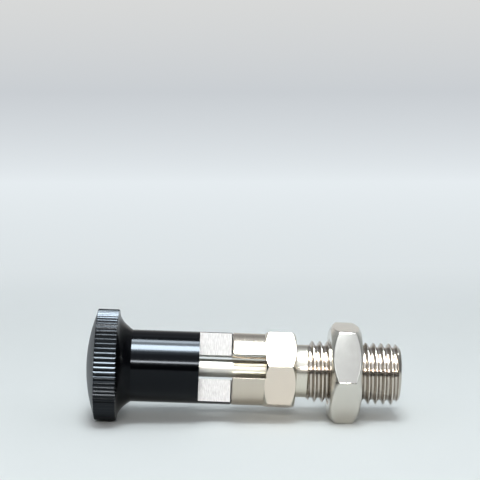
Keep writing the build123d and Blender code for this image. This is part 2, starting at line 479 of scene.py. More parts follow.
class Tree:
    """A geometry or shader node tree under construction."""

    def __init__(self, nodes_owner: bpy.types.NodeTree) -> None:
        """Wraps a node tree.

        Args:
            nodes_owner: The tree that gets the nodes.
        """
        self.tree = nodes_owner
        self.source: bpy.types.Node | None = None

    @classmethod
    def geometry(cls, name: str) -> "Tree":
        """Starts a geometry tree, whose first input is the mesh that it works on.

        Args:
            name: Name of the tree.

        Returns:
            The tree.
        """
        tree = cls(bpy.data.node_groups.new(name, "GeometryNodeTree"))
        tree.give("Geometry", "NodeSocketGeometry")
        return tree

    @classmethod
    def shader_group(cls, name: str) -> "Tree":
        """Starts a shader group."""
        return cls(bpy.data.node_groups.new(name, "ShaderNodeTree"))

    def add(self, kind: str, inputs: Inputs | None = None, **settings: object) -> bpy.types.Node:
        """Adds a node.

        Args:
            kind: Blender's name for the node.
            inputs: Value or socket for each input, by its name or number.
            settings: The node's own properties.

        Returns:
            The node.
        """
        node = self.tree.nodes.new(kind)
        for key, value in settings.items():
            setattr(node, key, value)
        for key, value in (inputs or {}).items():
            self.feed(node.inputs[key], value)
        return node

    def out(self, kind: str, inputs: Inputs | None = None, **settings: object) -> bpy.types.NodeSocket:
        """Adds a node and returns its first output."""
        return self.add(kind, inputs, **settings).outputs[0]

    def feed(self, socket: bpy.types.NodeSocket, value: object) -> None:
        """Links a socket into an input, or sets the input's value.

        Args:
            socket: The input.
            value: A socket that feeds it, or its value.
        """
        if isinstance(value, bpy.types.NodeSocket):
            self.tree.links.new(value, socket)
        else:
            socket.default_value = value

    def math(self, operation: str, *values: object) -> bpy.types.NodeSocket:
        """Adds a Math node and returns its result.

        Args:
            operation: Blender's name for the sum.
            values: Value or socket for each of its inputs in order.

        Returns:
            The socket of its result.
        """
        node = self.add("ShaderNodeMath", operation=operation)
        for index, value in enumerate(values):
            self.feed(node.inputs[index], value)
        return node.outputs[0]

    def step(
        self, value: bpy.types.NodeSocket, edge: Span, low: float, high: float, shape: str = "LINEAR"
    ) -> bpy.types.NodeSocket:
        """Adds a level that goes from low to high while the value crosses an edge.

        Args:
            value: The value.
            edge: Where the change starts and where it ends.
            low: The level up to the start.
            high: The level from the end on.
            shape: Blender's name for how the level goes between them.

        Returns:
            The socket of the level.
        """
        limits = {"From Min": edge[0], "From Max": edge[1], "To Min": low, "To Max": high}
        return self.out("ShaderNodeMapRange", {"Value": value, **limits}, interpolation_type=shape)

    def scaled(self, color: Color, share: bpy.types.NodeSocket) -> bpy.types.NodeSocket:
        """Adds a colour times a share and returns the result."""
        return self.out("ShaderNodeVectorMath", {0: color, "Scale": share}, operation="SCALE")

    def give(self, name: str, kind: str = "NodeSocketFloat") -> bpy.types.NodeSocket:
        """Adds a named input to the group and returns its socket inside.

        Args:
            name: Name of the input.
            kind: Blender's name for its kind of socket.

        Returns:
            The input's socket inside the group.
        """
        self.tree.interface.new_socket(name, in_out="INPUT", socket_type=kind)
        if self.source is None:
            self.source = self.tree.nodes.new("NodeGroupInput")
        return self.source.outputs[name]

    def give_all(self, *names: str, kind: str = "NodeSocketFloat") -> list[bpy.types.NodeSocket]:
        """Adds several inputs of one kind and returns their sockets in order."""
        return [self.give(name, kind) for name in names]

    def put_out(self, outputs: dict[str, tuple[str, bpy.types.NodeSocket]]) -> None:
        """Adds named outputs, each with its kind and the socket that feeds it.

        Args:
            outputs: Kind and feeding socket of each output, by its name.
        """
        for name, (kind, _) in outputs.items():
            self.tree.interface.new_socket(name, in_out="OUTPUT", socket_type=kind)
        sink = self.tree.nodes.new("NodeGroupOutput")
        for name, (_, socket) in outputs.items():
            self.tree.links.new(socket, sink.inputs[name])

    def put_out_marks(self, height: bpy.types.NodeSocket, change: bpy.types.NodeSocket) -> None:
        """Adds the two outputs that every group of marks has.

        Args:
            height: Height of the marks, between 0 and 1.
            change: Slow change over them, alike.
        """
        sockets = {"Height": height, "Change": change}
        self.put_out({name: ("NodeSocketFloat", socket) for name, socket in sockets.items()})

    def merged(self, geometry: bpy.types.NodeSocket) -> bpy.types.NodeSocket:
        """Merges points that lie on each other and returns the geometry."""
        return self.out("GeometryNodeMergeByDistance", {"Geometry": geometry, "Distance": MERGE_DISTANCE})

    def finish_geometry(self, geometry: bpy.types.NodeSocket) -> None:
        """Ends a geometry tree in Realize Instances and Set Material, with the material as an input.

        Args:
            geometry: The finished geometry.
        """
        material = self.give("Material", "NodeSocketMaterial")
        real = self.out("GeometryNodeRealizeInstances", {"Geometry": geometry})
        dressed = self.out("GeometryNodeSetMaterial", {"Geometry": real, "Material": material})
        self.put_out({"Geometry": ("NodeSocketGeometry", dressed)})


def grown(tree: Tree, values: dict[str, object], seed_mesh: bpy.types.Mesh | None = None) -> bpy.types.Mesh:
    """Plain mesh that a geometry tree makes.

    Args:
        tree: The finished tree.
        values: Value of each named input.
        seed_mesh: Mesh that goes into the tree, which is used up.

    Returns:
        The mesh.
    """
    mesh = seed_mesh or bpy.data.meshes.new("seed")
    item = linked("grown", mesh)
    step = item.modifiers.new("tree", "NODES")
    step.node_group = tree.tree
    sockets = {s.name: s.identifier for s in tree.tree.interface.items_tree if s.in_out == "INPUT"}
    for name, value in values.items():
        step[sockets[name]] = value
    result = evaluated_mesh(item)
    item.modifiers.remove(step)
    bpy.data.objects.remove(item)
    bpy.data.meshes.remove(mesh)
    return result


def thread_tree() -> Tree:
    """Tree of a helical thread wall, whose rows of points follow its crest and root.

    Its rows are sheared by one pitch per turn. Points past either end slide back to it, so
    both ends are plain circles once they are merged.

    Returns:
        The tree.
    """
    tree = Tree.geometry("helical_thread_wall")
    pitch, crest, root = tree.give_all("Pitch", "Crest Radius", "Root Radius")
    start, end, start_radius, end_radius = tree.give_all("Start", "End", "Start Radius", "End Radius")
    phase, half_crest, rounding = tree.give_all("Crest Station", "Half Crest", "Root Rounding")
    slope, side = tree.give_all("Flank Slope", "Outward")
    columns, per_turn = tree.give_all("Columns", "Rows Per Turn", kind="NodeSocketInt")
    step = tree.math("DIVIDE", pitch, per_turn)
    below = tree.math("SUBTRACT", tree.math("SUBTRACT", start, pitch), phase)
    base = tree.math("MULTIPLY_ADD", tree.math("FLOOR", tree.math("DIVIDE", below, step)), step, phase)
    rows = tree.math("CEIL", tree.math("DIVIDE", tree.math("SUBTRACT", end, base), step))
    grid = tree.out(
        "GeometryNodeMeshGrid",
        {
            "Size X": 1.0,
            "Size Y": 1.0,
            "Vertices X": tree.math("ADD", columns, 1.0),
            "Vertices Y": tree.math("ADD", rows, 1.0),
        },
    )
    place = tree.out("GeometryNodeInputPosition")
    split = tree.add("ShaderNodeSeparateXYZ", {0: place})
    around = tree.math("ADD", split.outputs["X"], 0.5)
    length = tree.math("MULTIPLY", rows, step)
    climb = tree.math("MULTIPLY", tree.math("ADD", split.outputs["Y"], 0.5), length)
    risen = tree.math("MULTIPLY", around, pitch)
    raw = tree.math("ADD", tree.math("ADD", base, climb), risen)
    station = tree.math("MINIMUM", tree.math("MAXIMUM", raw, start), end)
    turns = tree.math("DIVIDE", tree.math("SUBTRACT", tree.math("SUBTRACT", station, risen), phase), pitch)
    nearest = tree.math("SUBTRACT", turns, tree.math("ROUND", turns))
    from_crest = tree.math("MULTIPLY", tree.math("ABSOLUTE", nearest), pitch)
    drop = tree.math("MULTIPLY", tree.math("SUBTRACT", from_crest, half_crest), slope)
    wall = tree.math("MINIMUM", tree.math("SUBTRACT", crest, drop), crest)
    profile = tree.math("SMOOTH_MAX", wall, root, rounding)
    from_start = tree.math("SUBTRACT", station, start)
    from_end = tree.math("SUBTRACT", end, station)
    limit_start = tree.math("MULTIPLY_ADD", side, start_radius, from_start)
    limit_end = tree.math("MULTIPLY_ADD", side, end_radius, from_end)
    limit = tree.math("MINIMUM", limit_start, limit_end)
    signed = tree.math("MINIMUM", tree.math("MULTIPLY", profile, side), limit)
    radius = tree.math("MULTIPLY", signed, side)
    angle = tree.math("MULTIPLY", around, 2 * math.pi)
    target = tree.out(
        "ShaderNodeCombineXYZ",
        {
            0: station,
            1: tree.math("MULTIPLY", radius, tree.math("COSINE", angle)),
            2: tree.math("MULTIPLY", radius, tree.math("SINE", angle)),
        },
    )
    bent = tree.out("GeometryNodeSetPosition", {"Geometry": grid, "Position": target})
    tree.finish_geometry(tree.merged(bent))
    return tree


def ring_of_ribs_tree() -> Tree:
    """Tree that repeats one rib of a knurl round the axis and merges the ribs.

    Returns:
        The tree.
    """
    tree = Tree.geometry("knurl_ribs")
    count = tree.give("Ribs", "NodeSocketInt")
    first = tree.give("First Angle")
    rib = tree.source.outputs["Geometry"]
    seats = tree.out("GeometryNodeMeshLine", {"Count": count, "Offset": (0.0, 0.0, 0.0)})
    index = tree.out("GeometryNodeInputIndex")
    share = tree.math("DIVIDE", index, count)
    angle = tree.math("MULTIPLY_ADD", share, 2 * math.pi, first)
    turn = tree.out("ShaderNodeCombineXYZ", {0: angle})
    repeated = tree.out(
        "GeometryNodeInstanceOnPoints",
        {"Points": seats, "Instance": rib, "Rotation": turn},
    )
    real = tree.out("GeometryNodeRealizeInstances", {"Geometry": repeated})
    tree.finish_geometry(tree.merged(real))
    return tree


def coil_tree() -> Tree:
    """Tree of a round-wire coil along Z with both ends ground flat.

    Returns:
        The tree.
    """
    tree = Tree.geometry("ground_coil")
    coils, mean, wire, length = tree.give_all("Coils", "Mean Radius", "Wire Radius", "Length")
    steps, wire_steps = tree.give_all("Steps Per Turn", "Steps Round Wire", kind="NodeSocketInt")
    helix = tree.out(
        "GeometryNodeCurveSpiral",
        {
            "Resolution": steps,
            "Rotations": coils,
            "Start Radius": mean,
            "End Radius": mean,
            "Height": length,
        },
    )
    section = tree.out("GeometryNodeCurvePrimitiveCircle", {"Resolution": wire_steps, "Radius": wire})
    swept = tree.out(
        "GeometryNodeCurveToMesh",
        {"Curve": helix, "Profile Curve": section, "Fill Caps": True},
    )
    place = tree.out("GeometryNodeInputPosition")
    split = tree.add("ShaderNodeSeparateXYZ", {0: place})
    ground = tree.math("MINIMUM", tree.math("MAXIMUM", split.outputs["Z"], 0.0), length)
    target = tree.out(
        "ShaderNodeCombineXYZ", {0: split.outputs["X"], 1: split.outputs["Y"], 2: ground}
    )
    flat = tree.out("GeometryNodeSetPosition", {"Geometry": swept, "Position": target})
    tree.finish_geometry(flat)
    return tree


# --------------------------------------------------------------------------------------
# Shared effects
# --------------------------------------------------------------------------------------


BAND_MARKS = 9.0  # turning marks under one slow band
CLOUD_GRAINS = 12.0  # grains across one cloud


def axis_space_group() -> bpy.types.NodeTree:
    """Group that gives a point's place along and around the plunger's axis, in mm.

    Returns:
        The group.
    """
    tree = Tree.shader_group("axis_space")
    roll = tree.give("Roll")
    place = tree.add("ShaderNodeTexCoord")
    to_axis = LAY.level().inverted()
    moved = tree.out(
        "ShaderNodeMapping",
        {
            "Vector": place.outputs["Object"],
            "Location": to_axis.to_translation(),
            "Rotation": to_axis.to_euler(),
            "Scale": to_axis.to_scale(),
        },
    )
    turned = tree.out(
        "ShaderNodeVectorRotate",
        {"Vector": moved, "Angle": tree.math("MULTIPLY", roll, -1.0)},
        rotation_type="X_AXIS",
    )
    split = tree.add("ShaderNodeSeparateXYZ", {0: turned})
    radius = tree.math(
        "SQRT",
        tree.math(
            "ADD",
            tree.math("MULTIPLY", split.outputs["Y"], split.outputs["Y"]),
            tree.math("MULTIPLY", split.outputs["Z"], split.outputs["Z"]),
        ),
    )
    tree.put_out(
        {
            "Place": ("NodeSocketVector", turned),
            "Along": ("NodeSocketFloat", split.outputs["X"]),
            "Radius": ("NodeSocketFloat", radius),
        }
    )
    return tree.tree


def turning_marks_group() -> bpy.types.NodeTree:
    """Group of the fine rings that a lathe tool leaves, with slow bands over them.

    Returns:
        The group.
    """
    tree = Tree.shader_group("turning_marks")
    travel, spacing = tree.give_all("Place", "Spacing")
    band_spacing = tree.math("MULTIPLY", spacing, BAND_MARKS)
    fine = tree.out(
        "ShaderNodeTexNoise",
        {"W": tree.math("DIVIDE", travel, spacing), "Scale": 1.0, "Detail": 2.0, "Roughness": 0.7},
        noise_dimensions="1D",
    )
    slow = tree.out(
        "ShaderNodeTexNoise",
        {"W": tree.math("DIVIDE", travel, band_spacing), "Scale": 1.0, "Detail": 1.0},
        noise_dimensions="1D",
    )
    tree.put_out_marks(fine, slow)
    return tree.tree


def satin_grain_group() -> bpy.types.NodeTree:
    """Group of a fine even grain with cloudy patches, as tumbling or blasting leaves.

    Returns:
        The group.
    """
    tree = Tree.shader_group("satin_grain")
    place = tree.give("Place", "NodeSocketVector")
    density = tree.math("DIVIDE", 1.0, tree.give("Spacing"))
    cloud_density = tree.math("DIVIDE", density, CLOUD_GRAINS)
    fine = tree.out(
        "ShaderNodeTexNoise", {"Vector": place, "Scale": density, "Detail": 3.0, "Roughness": 0.65}
    )
    cloud = tree.out("ShaderNodeTexNoise", {"Vector": place, "Scale": cloud_density, "Detail": 2.0})
    tree.put_out_marks(fine, cloud)
    return tree.tree


def cutter_marks_group() -> bpy.types.NodeTree:
    """Group of the crossing arcs and speckle that an end mill leaves on a flat.

    Returns:
        The group.
    """
    tree = Tree.shader_group("cutter_marks")
    place = tree.give("Place", "NodeSocketVector")
    spacing = tree.give("Spacing")
    streak_stretch = (1.0, 0.18, 0.18)
    speckle_density, speckle_share = 0.7, 0.35
    pull = tree.out("ShaderNodeMapping", {"Vector": place, "Scale": streak_stretch})
    density = tree.math("DIVIDE", 1.0, spacing)
    streak = tree.out(
        "ShaderNodeTexNoise",
        {"Vector": pull, "Scale": density, "Detail": 3.0, "Roughness": 0.6},
    )
    speckle = tree.add(
        "ShaderNodeTexVoronoi", {"Vector": place, "Scale": tree.math("DIVIDE", speckle_density, spacing)}
    )
    height = tree.math("MULTIPLY_ADD", speckle.outputs["Distance"], speckle_share, streak)
    tree.put_out_marks(height, streak)
    return tree.tree


def new_material(name: str) -> tuple[bpy.types.Material, Tree, bpy.types.Node]:
    """Starts a material.

    Args:
        name: Its name.

    Returns:
        The material, its tree and its Principled shader.
    """
    material = bpy.data.materials.new(name)
    material.use_nodes = True
    return material, Tree(material.node_tree), material.node_tree.nodes["Principled BSDF"]


@dataclass(frozen=True)
class Effects:
    """The shared shader groups, each built once.

    Args:
        axis_space: A point's place along and around the axis.
        turning_marks: Rings that a lathe tool leaves.
        satin_grain: Even grain with cloudy patches.
        cutter_marks: Arcs and speckle that an end mill leaves.
    """

    axis_space: bpy.types.NodeTree = field(default_factory=axis_space_group)
    turning_marks: bpy.types.NodeTree = field(default_factory=turning_marks_group)
    satin_grain: bpy.types.NodeTree = field(default_factory=satin_grain_group)
    cutter_marks: bpy.types.NodeTree = field(default_factory=cutter_marks_group)


class Grain(Enum):
    """What left the fine texture of a surface."""

    TURNED = "turned"
    FACED = "faced"
    TUMBLED = "tumbled"
    MILLED = "milled"


@dataclass(frozen=True)
class MetalFinish:
    """A bare or anodised metal surface.

    Args:
        name: Name of the material.
        grain: What left its texture.
        color: Colour of the metal or of the anodised layer.
        metallic: 1 for bare metal, 0 for the anodised layer.
        roughness: Middle roughness.
        roughness_swing: How far bands or clouds move the roughness.
        spacing: Distance between marks, in mm.
        relief: Depth of the marks as the bump sees it, in mm.
        shade_swing: How far bands or clouds darken the colour.
        specular: Strength of the reflection off an anodised layer.
        specular_tint: Colour of that reflection.
        roll: Turn of the piece about the axis, in degrees.
    """

    name: str
    grain: Grain
    color: Color
    metallic: float = 1.0
    roughness: float = 0.3
    roughness_swing: float = 0.08
    spacing: float = 0.1
    relief: float = 0.002
    shade_swing: float = 0.06
    specular: float = 0.5
    specular_tint: Color = (1.0, 1.0, 1.0)
    roll: float = 0.0

    def material(self, effects: Effects) -> bpy.types.Material:
        """Builds the material.

        Args:
            effects: The shared groups.

        Returns:
            The material.
        """
        material, tree, shader = new_material(self.name)
        marks = self._marks(tree, effects)
        level = tree.math("SUBTRACT", marks.outputs["Change"], 0.5)
        roughness = tree.math("MULTIPLY_ADD", level, self.roughness_swing, self.roughness)
        tree.feed(shader.inputs["Roughness"], roughness)
        shade = tree.math("MULTIPLY_ADD", level, self.shade_swing, 1.0)
        tree.feed(shader.inputs["Base Color"], tree.scaled(self.color, shade))
        depth = {"Distance": self.relief * MM, "Strength": 1.0}
        bump = tree.out("ShaderNodeBump", {"Height": marks.outputs["Height"], **depth})
        tree.feed(shader.inputs["Normal"], bump)
        shader.inputs["Metallic"].default_value = self.metallic
        shader.inputs["Specular IOR Level"].default_value = self.specular
        shader.inputs["Specular Tint"].default_value = (*self.specular_tint, 1.0)
        return material

    def _marks(self, tree: Tree, effects: Effects) -> bpy.types.Node:
        """Adds the marks of this grain, laid along or around the plunger's axis.

        Args:
            tree: The material's tree.
            effects: The shared groups.

        Returns:
            The node of the marks' group.
        """
        group, place = {
            Grain.TURNED: (effects.turning_marks, "Along"),
            Grain.FACED: (effects.turning_marks, "Radius"),
            Grain.TUMBLED: (effects.satin_grain, "Place"),
            Grain.MILLED: (effects.cutter_marks, "Place"),
        }[self.grain]
        roll = {"Roll": math.radians(self.roll)}
        space = tree.add("ShaderNodeGroup", roll, node_tree=effects.axis_space)
        inputs = {"Place": space.outputs[place], "Spacing": self.spacing}
        return tree.add("ShaderNodeGroup", inputs, node_tree=group)


# Darker steel for the prongs than for the neck, though they are one turned piece: painted shade. The
# housing's bores and the spring reuse it.
PRONG_SHADE_STEEL = (0.66, 0.59, 0.50)
NECK_STEEL = (0.74, 0.70, 0.61)
DRAWN_STEEL = (0.84, 0.735, 0.63)
TUMBLED_STEEL = (0.71, 0.68, 0.62)
# Darker steel for the threads of the housing and the nut, though it is the neck's steel: painted shade of
# their grooves and undersides.
THREAD_SHADE_STEEL = (0.56, 0.51, 0.455)
# Lighter steel on the thread's crest tops: a painted highlight.
CREST_HIGHLIGHT_STEEL = (0.92, 0.87, 0.81)
# The slot's walls are milled steel; their warmer tint is a painted reflection of light bounced between
# them.
SLOT_REFLECTION_STEEL = (0.73, 0.68, 0.56)
BRIGHT_STEEL = (0.76, 0.73, 0.68)
BLACK_LAYER = (0.0008, 0.0008, 0.0012)
BLACK_SHEEN = (0.82, 0.9, 1.0)
BARE_ALUMINIUM = (0.435, 0.425, 0.42)
BORED_ALUMINIUM = (0.45, 0.45, 0.44)


# --------------------------------------------------------------------------------------
# Sub-assemblies
# --------------------------------------------------------------------------------------


@dataclass
class Thread:
    """The fine thread that the housing and the lock nut share.

    Args:
        pitch: Distance between crests.
        crest_radius: Radius over the crests.
        root_radius: Radius in the roots.
        crest_station: Station of a crest at angle zero with no roll.
        half_crest: Half the width of a crest's flat top.
        flank_angle: Angle between a flank and the axis, in degrees.
        root_rounding: Softness of the roots.
        nut_gap: How much wider the nut's thread is, on the radius.
        columns: Points round the thread.
        rows_per_turn: Points along one pitch.
    """

    pitch: float = 1.5
    crest_radius: float = 5.98
    root_radius: float = 5.14
    crest_station: float = 1.265
    half_crest: float = 0.09
    flank_angle: float = 60.0
    root_rounding: float = 0.06
    nut_gap: float = 0.045
    columns: int = 192
    rows_per_turn: int = 24

    def wall(
        self,
        tree: Tree,
        start: tuple[float, float],
        end: tuple[float, float],
        material: bpy.types.Material,
        roll: float = 0.0,
        inside: bool = False,
    ) -> bpy.types.Mesh:
        """Mesh of a threaded wall.

        Args:
            tree: The thread's geometry tree.
            start: (station, radius) where the wall starts.
            end: (station, radius) where it ends.
            material: The thread's material.
            roll: Turn of the piece about the axis, in degrees.
            inside: Whether it is the nut's thread.

        Returns:
            The wall, open at both ends.
        """
        gap = self.nut_gap if inside else 0.0
        values = {
            "Pitch": self.pitch,
            "Crest Radius": self.crest_radius + gap,
            "Root Radius": self.root_radius + gap,
            "Start": start[0],
            "Start Radius": start[1],
            "End": end[0],
            "End Radius": end[1],
            "Crest Station": self.crest_station - self.pitch * roll / 360.0,
            "Half Crest": self.half_crest,
            "Flank Slope": math.tan(math.radians(self.flank_angle)),
            "Root Rounding": self.root_rounding,
            "Outward": -1.0 if inside else 1.0,
            "Columns": self.columns,
            "Rows Per Turn": self.rows_per_turn,
            "Material": material,
        }
        return grown(tree, values)


class BodyFace(IntEnum):
    """Surfaces of the housing, in the order of its materials."""

    NECK = 0
    HEXAGON = 1
    THREAD = 2
    SLOT = 3
    BORE = 4
    PRONG = 5
    # Crest tops, which get a painted highlight
    CREST = 6


@dataclass
class Housing:
    """Threaded housing: two prongs, hexagon, neck and thread in one turned piece.

    Args:
        thread: The thread on it.
        reach: Station of the thread's end.
        mouth_radius: Radius of the guide bore's chamfered mouth.
        mouth_chamfer: Depth of that chamfer.
        guide_radius: Radius of the guide bore.
        end_radius: Radius of the thread's end face.
        end_ring: Width of the flat ring round the mouth.
        neck_radius: Radius of the neck.
        neck_end: Station where the neck runs out to the thread.
        neck_fillet: Radius between the neck and the seat.
        seat_radius: Outer radius of the seat.
        seat_ring: Width of the seat's outer ring.
        across_flats: Size of the hexagon.
        hexagon_start: Station where the hexagon meets the prongs.
        corner_fillet: Radius of the hexagon's long edges.
        chamfer_slope: Rise of the corner chamfers along the axis per mm of radius.
        outer_fillet: Fillet of the seat's chamfered corners and of the prongs' outer edge.
        rear_fillet: Fillet of the corners towards the prongs.
        fine_fillet: Fillet of the seat's edge and of the prongs' end faces.
        land: Length of the round ring between the hexagon and the prongs.
        prong_radius: Outer radius of the prongs.
        prong_end: Station of the prongs' ends.
        edge_break: Chamfer on the prongs' ends.
        rear_radius: Radius of the rear bore.
        rear_break: Chamfer on that bore's mouth.
        slot_bottom: Station of the slot's bottom.
        slot_width: Width of the slot.
        lip_break: Chamfer on the slot's outer lips.
        lip_overlap: How far a lip's cutter reaches into the slot.
        lip_past: How far it reaches past the lip.
        tail_hole_radius: Radius of the hole for the pin's tail.
        guide_bottom: Station of the guide bore's bottom.
        slack: How far past a limit a face still has the finish before it.
        crest_depth: How far below the crests' radius the painted highlight on their tops reaches.
        bore_margin: How far beyond the guide bore's radius the bores' finish reaches.
        side_lean: Most that a face of the hexagon's sides leans along the axis.
    """

    thread: Thread
    reach: float = 20.4
    mouth_radius: float = 3.73
    mouth_chamfer: float = 0.7
    guide_radius: float = 3.03
    end_radius: float = 5.05
    end_ring: float = 0.25
    neck_radius: float = 5.12
    neck_end: float = 2.2
    neck_fillet: float = 0.3
    seat_radius: float = 6.9
    seat_ring: float = 0.6
    across_flats: float = 14.0
    hexagon_start: float = -6.1
    corner_fillet: float = 0.22
    chamfer_slope: float = math.tan(math.radians(35.0))
    outer_fillet: float = 0.12
    rear_fillet: float = 0.1
    fine_fillet: float = 0.05
    land: float = 0.3
    prong_radius: float = 7.0
    prong_end: float = -12.3
    edge_break: float = 0.2
    rear_radius: float = 3.2
    rear_break: float = 0.1
    slot_bottom: float = -5.8
    slot_width: float = 4.5
    lip_break: float = 0.15
    lip_overlap: float = 0.01
    lip_past: float = 1.0
    tail_hole_radius: float = 1.83
    guide_bottom: float = GUIDE_BOTTOM
    slack: float = 0.02
    crest_depth: float = 0.03
    bore_margin: float = 0.3
    side_lean: float = 0.3

    def outer_outline(self, hexagon_radius_here: float) -> Outline:
        """Outline from the seat over the hexagon and prongs and back through the bores.

        Args:
            hexagon_radius_here: Radius of the hexagon at the column's angle.

        Returns:
            The outline.
        """
        seat_rise = (hexagon_radius_here - self.seat_radius) * self.chamfer_slope
        prong_rise = (hexagon_radius_here - self.prong_radius) * self.chamfer_slope
        chamfer_start = self.hexagon_start + max(prong_rise, 0.0)
        return filleted(
            [
                (0.0, self.seat_radius - self.seat_ring, 0.0),
                (0.0, self.seat_radius, self.fine_fillet),
                (-seat_rise, hexagon_radius_here, self.outer_fillet),
                (chamfer_start, hexagon_radius_here, self.rear_fillet),
                (self.hexagon_start, self.prong_radius, 0.0),
                (self.hexagon_start - self.land, self.prong_radius, 0.0),
                (self.prong_end + self.edge_break, self.prong_radius, self.outer_fillet),
                (self.prong_end, self.prong_radius - self.edge_break, self.fine_fillet),
                (self.prong_end, self.rear_radius + self.rear_break, 0.0),
                (self.prong_end + self.rear_break, self.rear_radius, 0.0),
                (self.slot_bottom, self.rear_radius, 0.0),
                (self.slot_bottom, self.tail_hole_radius, 0.0),
                (self.guide_bottom, self.tail_hole_radius, 0.0),
                (self.guide_bottom, self.guide_radius, 0.0),
                (self.reach - self.mouth_chamfer, self.guide_radius, 0.0),
                (self.reach, self.mouth_radius, 0.0),
            ]
        )

    def neck_outline(self) -> Outline:
        """Outline from the seat's face down into the neck and along it.

        Returns:
            The outline.
        """
        return filleted(
            [
                (0.0, self.neck_radius + 2 * self.neck_fillet, 0.0),
                (0.0, self.neck_radius, self.neck_fillet),
                (self.neck_end, self.neck_radius, 0.0),
            ]
        )

    def end_outline(self) -> Outline:
        """Outline of the thread's end face."""
        return [(self.reach, self.end_radius), (self.reach, self.mouth_radius + self.end_ring)]

    def slot_cutter(self) -> bpy.types.Mesh:
        """Prism of the cross slot, flared a little at the prongs' ends.

        Returns:
            The closed prism.
        """
        half = self.slot_width / 2
        break_size = self.lip_break / 2
        outside = self.prong_end - PAST
        flare = half + break_size + PAST
        section = [
            (self.slot_bottom, -half),
            (self.prong_end + break_size, -half),
            (outside, -flare),
            (outside, flare),
            (self.prong_end + break_size, half),
            (self.slot_bottom, half),
        ]
        return prism(section, (0, 2), 1, 2 * self.prong_radius)

    def lip_cutter(self, side: int, level: int) -> bpy.types.Mesh:
        """Wedge that breaks one outer lip of the slot, on the +Y or -Y side.

        Args:
            side: 1 for the lip on +Y and -1 for the one on -Y.
            level: 1 for the upper wall of the slot and -1 for the lower.

        Returns:
            The closed wedge.
        """
        half = self.slot_width / 2
        lip = math.sqrt(self.prong_radius**2 - half**2)
        wall, beyond = level * (half - self.lip_overlap), lip + self.lip_past
        section = [
            (side * (lip - self.lip_break), wall),
            (side * beyond, wall),
            (side * beyond, level * (half + self.lip_break + self.lip_past)),
        ]
        wedge = prism(section, (1, 2), 0, 1.0)
        length = self.hexagon_start - self.prong_end + self.lip_past
        middle = (self.hexagon_start + self.prong_end - self.lip_past) / 2
        wedge.transform(Matrix.Translation((middle, 0, 0)) @ Matrix.Diagonal((length / 2, 1, 1, 1)))
        return wedge

    def mesh(self, tree: Tree, threaded: bpy.types.Material) -> bpy.types.Mesh:
        """Closed mesh of the housing in its own rolled axis space.

        Args:
            tree: The thread's geometry tree.
            threaded: The thread's material.

        Returns:
            The mesh.
        """
        angles = hexagon_angles(self.across_flats, self.corner_fillet)
        radii = hexagon_radius(angles, self.across_flats, self.corner_fillet)
        fine = even_angles(self.thread.columns)
        start, end = (self.neck_end, self.neck_radius), (self.reach, self.end_radius)
        parts = [
            columns_lathe((self.outer_outline(radius) for radius in radii), angles),
            lathe(self.neck_outline(), fine),
            self.thread.wall(tree, start, end, threaded, roll=LAY.housing_roll),
            lathe(self.end_outline(), fine),
        ]
        whole = cut(stitched(parts, bridges=(0.0, self.reach)), self.slot_cutter())
        for side in (-1, 1):
            for level in (-1, 1):
                whole = cut(whole, self.lip_cutter(side, level))
        return tidied(whole)

    def region(self, centre: Vector, normal: Vector) -> BodyFace:
        """Which of the housing's surfaces a face belongs to.

        Args:
            centre: Middle of the face.
            normal: Its normal.

        Returns:
            The surface.
        """
        radius = math.hypot(centre.y, centre.z)
        if centre.x > self.neck_end and radius > self.end_radius - self.slack:
            # The crest tops get a lighter steel as a painted highlight.
            on_crest = radius > self.thread.crest_radius - self.crest_depth
            return BodyFace.CREST if on_crest else BodyFace.THREAD
        if radius < self.guide_radius + self.bore_margin:
            return BodyFace.BORE
        between_walls = abs(centre.z) < self.slot_width / 2 + self.slack
        if between_walls and centre.x < self.slot_bottom + self.slack:
            return BodyFace.SLOT
        if centre.x < self.hexagon_start:
            return BodyFace.PRONG
        on_side = centre.x < 0 and abs(normal.x) < self.side_lean
        return BodyFace.HEXAGON if on_side else BodyFace.NECK

    def build(self, tree: Tree, effects: Effects) -> bpy.types.Object:
        """Makes, dresses and seats the housing.

        Args:
            tree: The thread's geometry tree.
            effects: The shared groups.

        Returns:
            The finished piece.
        """
        turned, tumbled, milled = Grain.TURNED, Grain.TUMBLED, Grain.MILLED
        bar_marks = {"roughness": 0.24, "spacing": 0.06, "relief": 0.0012}
        finishes = {
            BodyFace.NECK: MetalFinish("neck_steel", turned, NECK_STEEL, **bar_marks),
            BodyFace.HEXAGON: MetalFinish(
                "hexagon_steel", tumbled, DRAWN_STEEL, roughness=0.26, spacing=0.35, relief=0.0015
            ),
            # Painted shade: the thread's steel is darker than the neck's
            BodyFace.THREAD: MetalFinish(
                "shaded_thread_steel", turned, THREAD_SHADE_STEEL, roughness=0.17, spacing=0.05, relief=0.0006
            ),
            # Painted reflection: warmer tint in the slot
            BodyFace.SLOT: MetalFinish(
                "slot_reflection_steel", milled, SLOT_REFLECTION_STEEL, roughness=0.2, spacing=0.3, relief=0.001
            ),
            BodyFace.BORE: MetalFinish("bore_steel", turned, PRONG_SHADE_STEEL, roughness=0.3, spacing=0.1),
            # Painted shade: the prongs' steel is darker than the neck's
            BodyFace.PRONG: MetalFinish("prong_shaded_steel", turned, PRONG_SHADE_STEEL, **bar_marks),
            # Painted highlight on the crest tops
            BodyFace.CREST: MetalFinish(
                "crest_highlight_steel", turned, CREST_HIGHLIGHT_STEEL, roughness=0.2, spacing=0.05, relief=0.0006
            ),
        }
        materials = [finishes[face].material(effects) for face in BodyFace]
        mesh = self.mesh(tree, materials[BodyFace.THREAD])
        piece = finished_piece("plunger_housing", mesh, LAY.housing(), materials, self.region)
        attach(piece, "housing")
        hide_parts("threaded_body")
        return piece


class NutFace(IntEnum):
    """Surfaces of the lock nut, in the order of its materials."""

    OUTSIDE = 0
    THREAD = 1


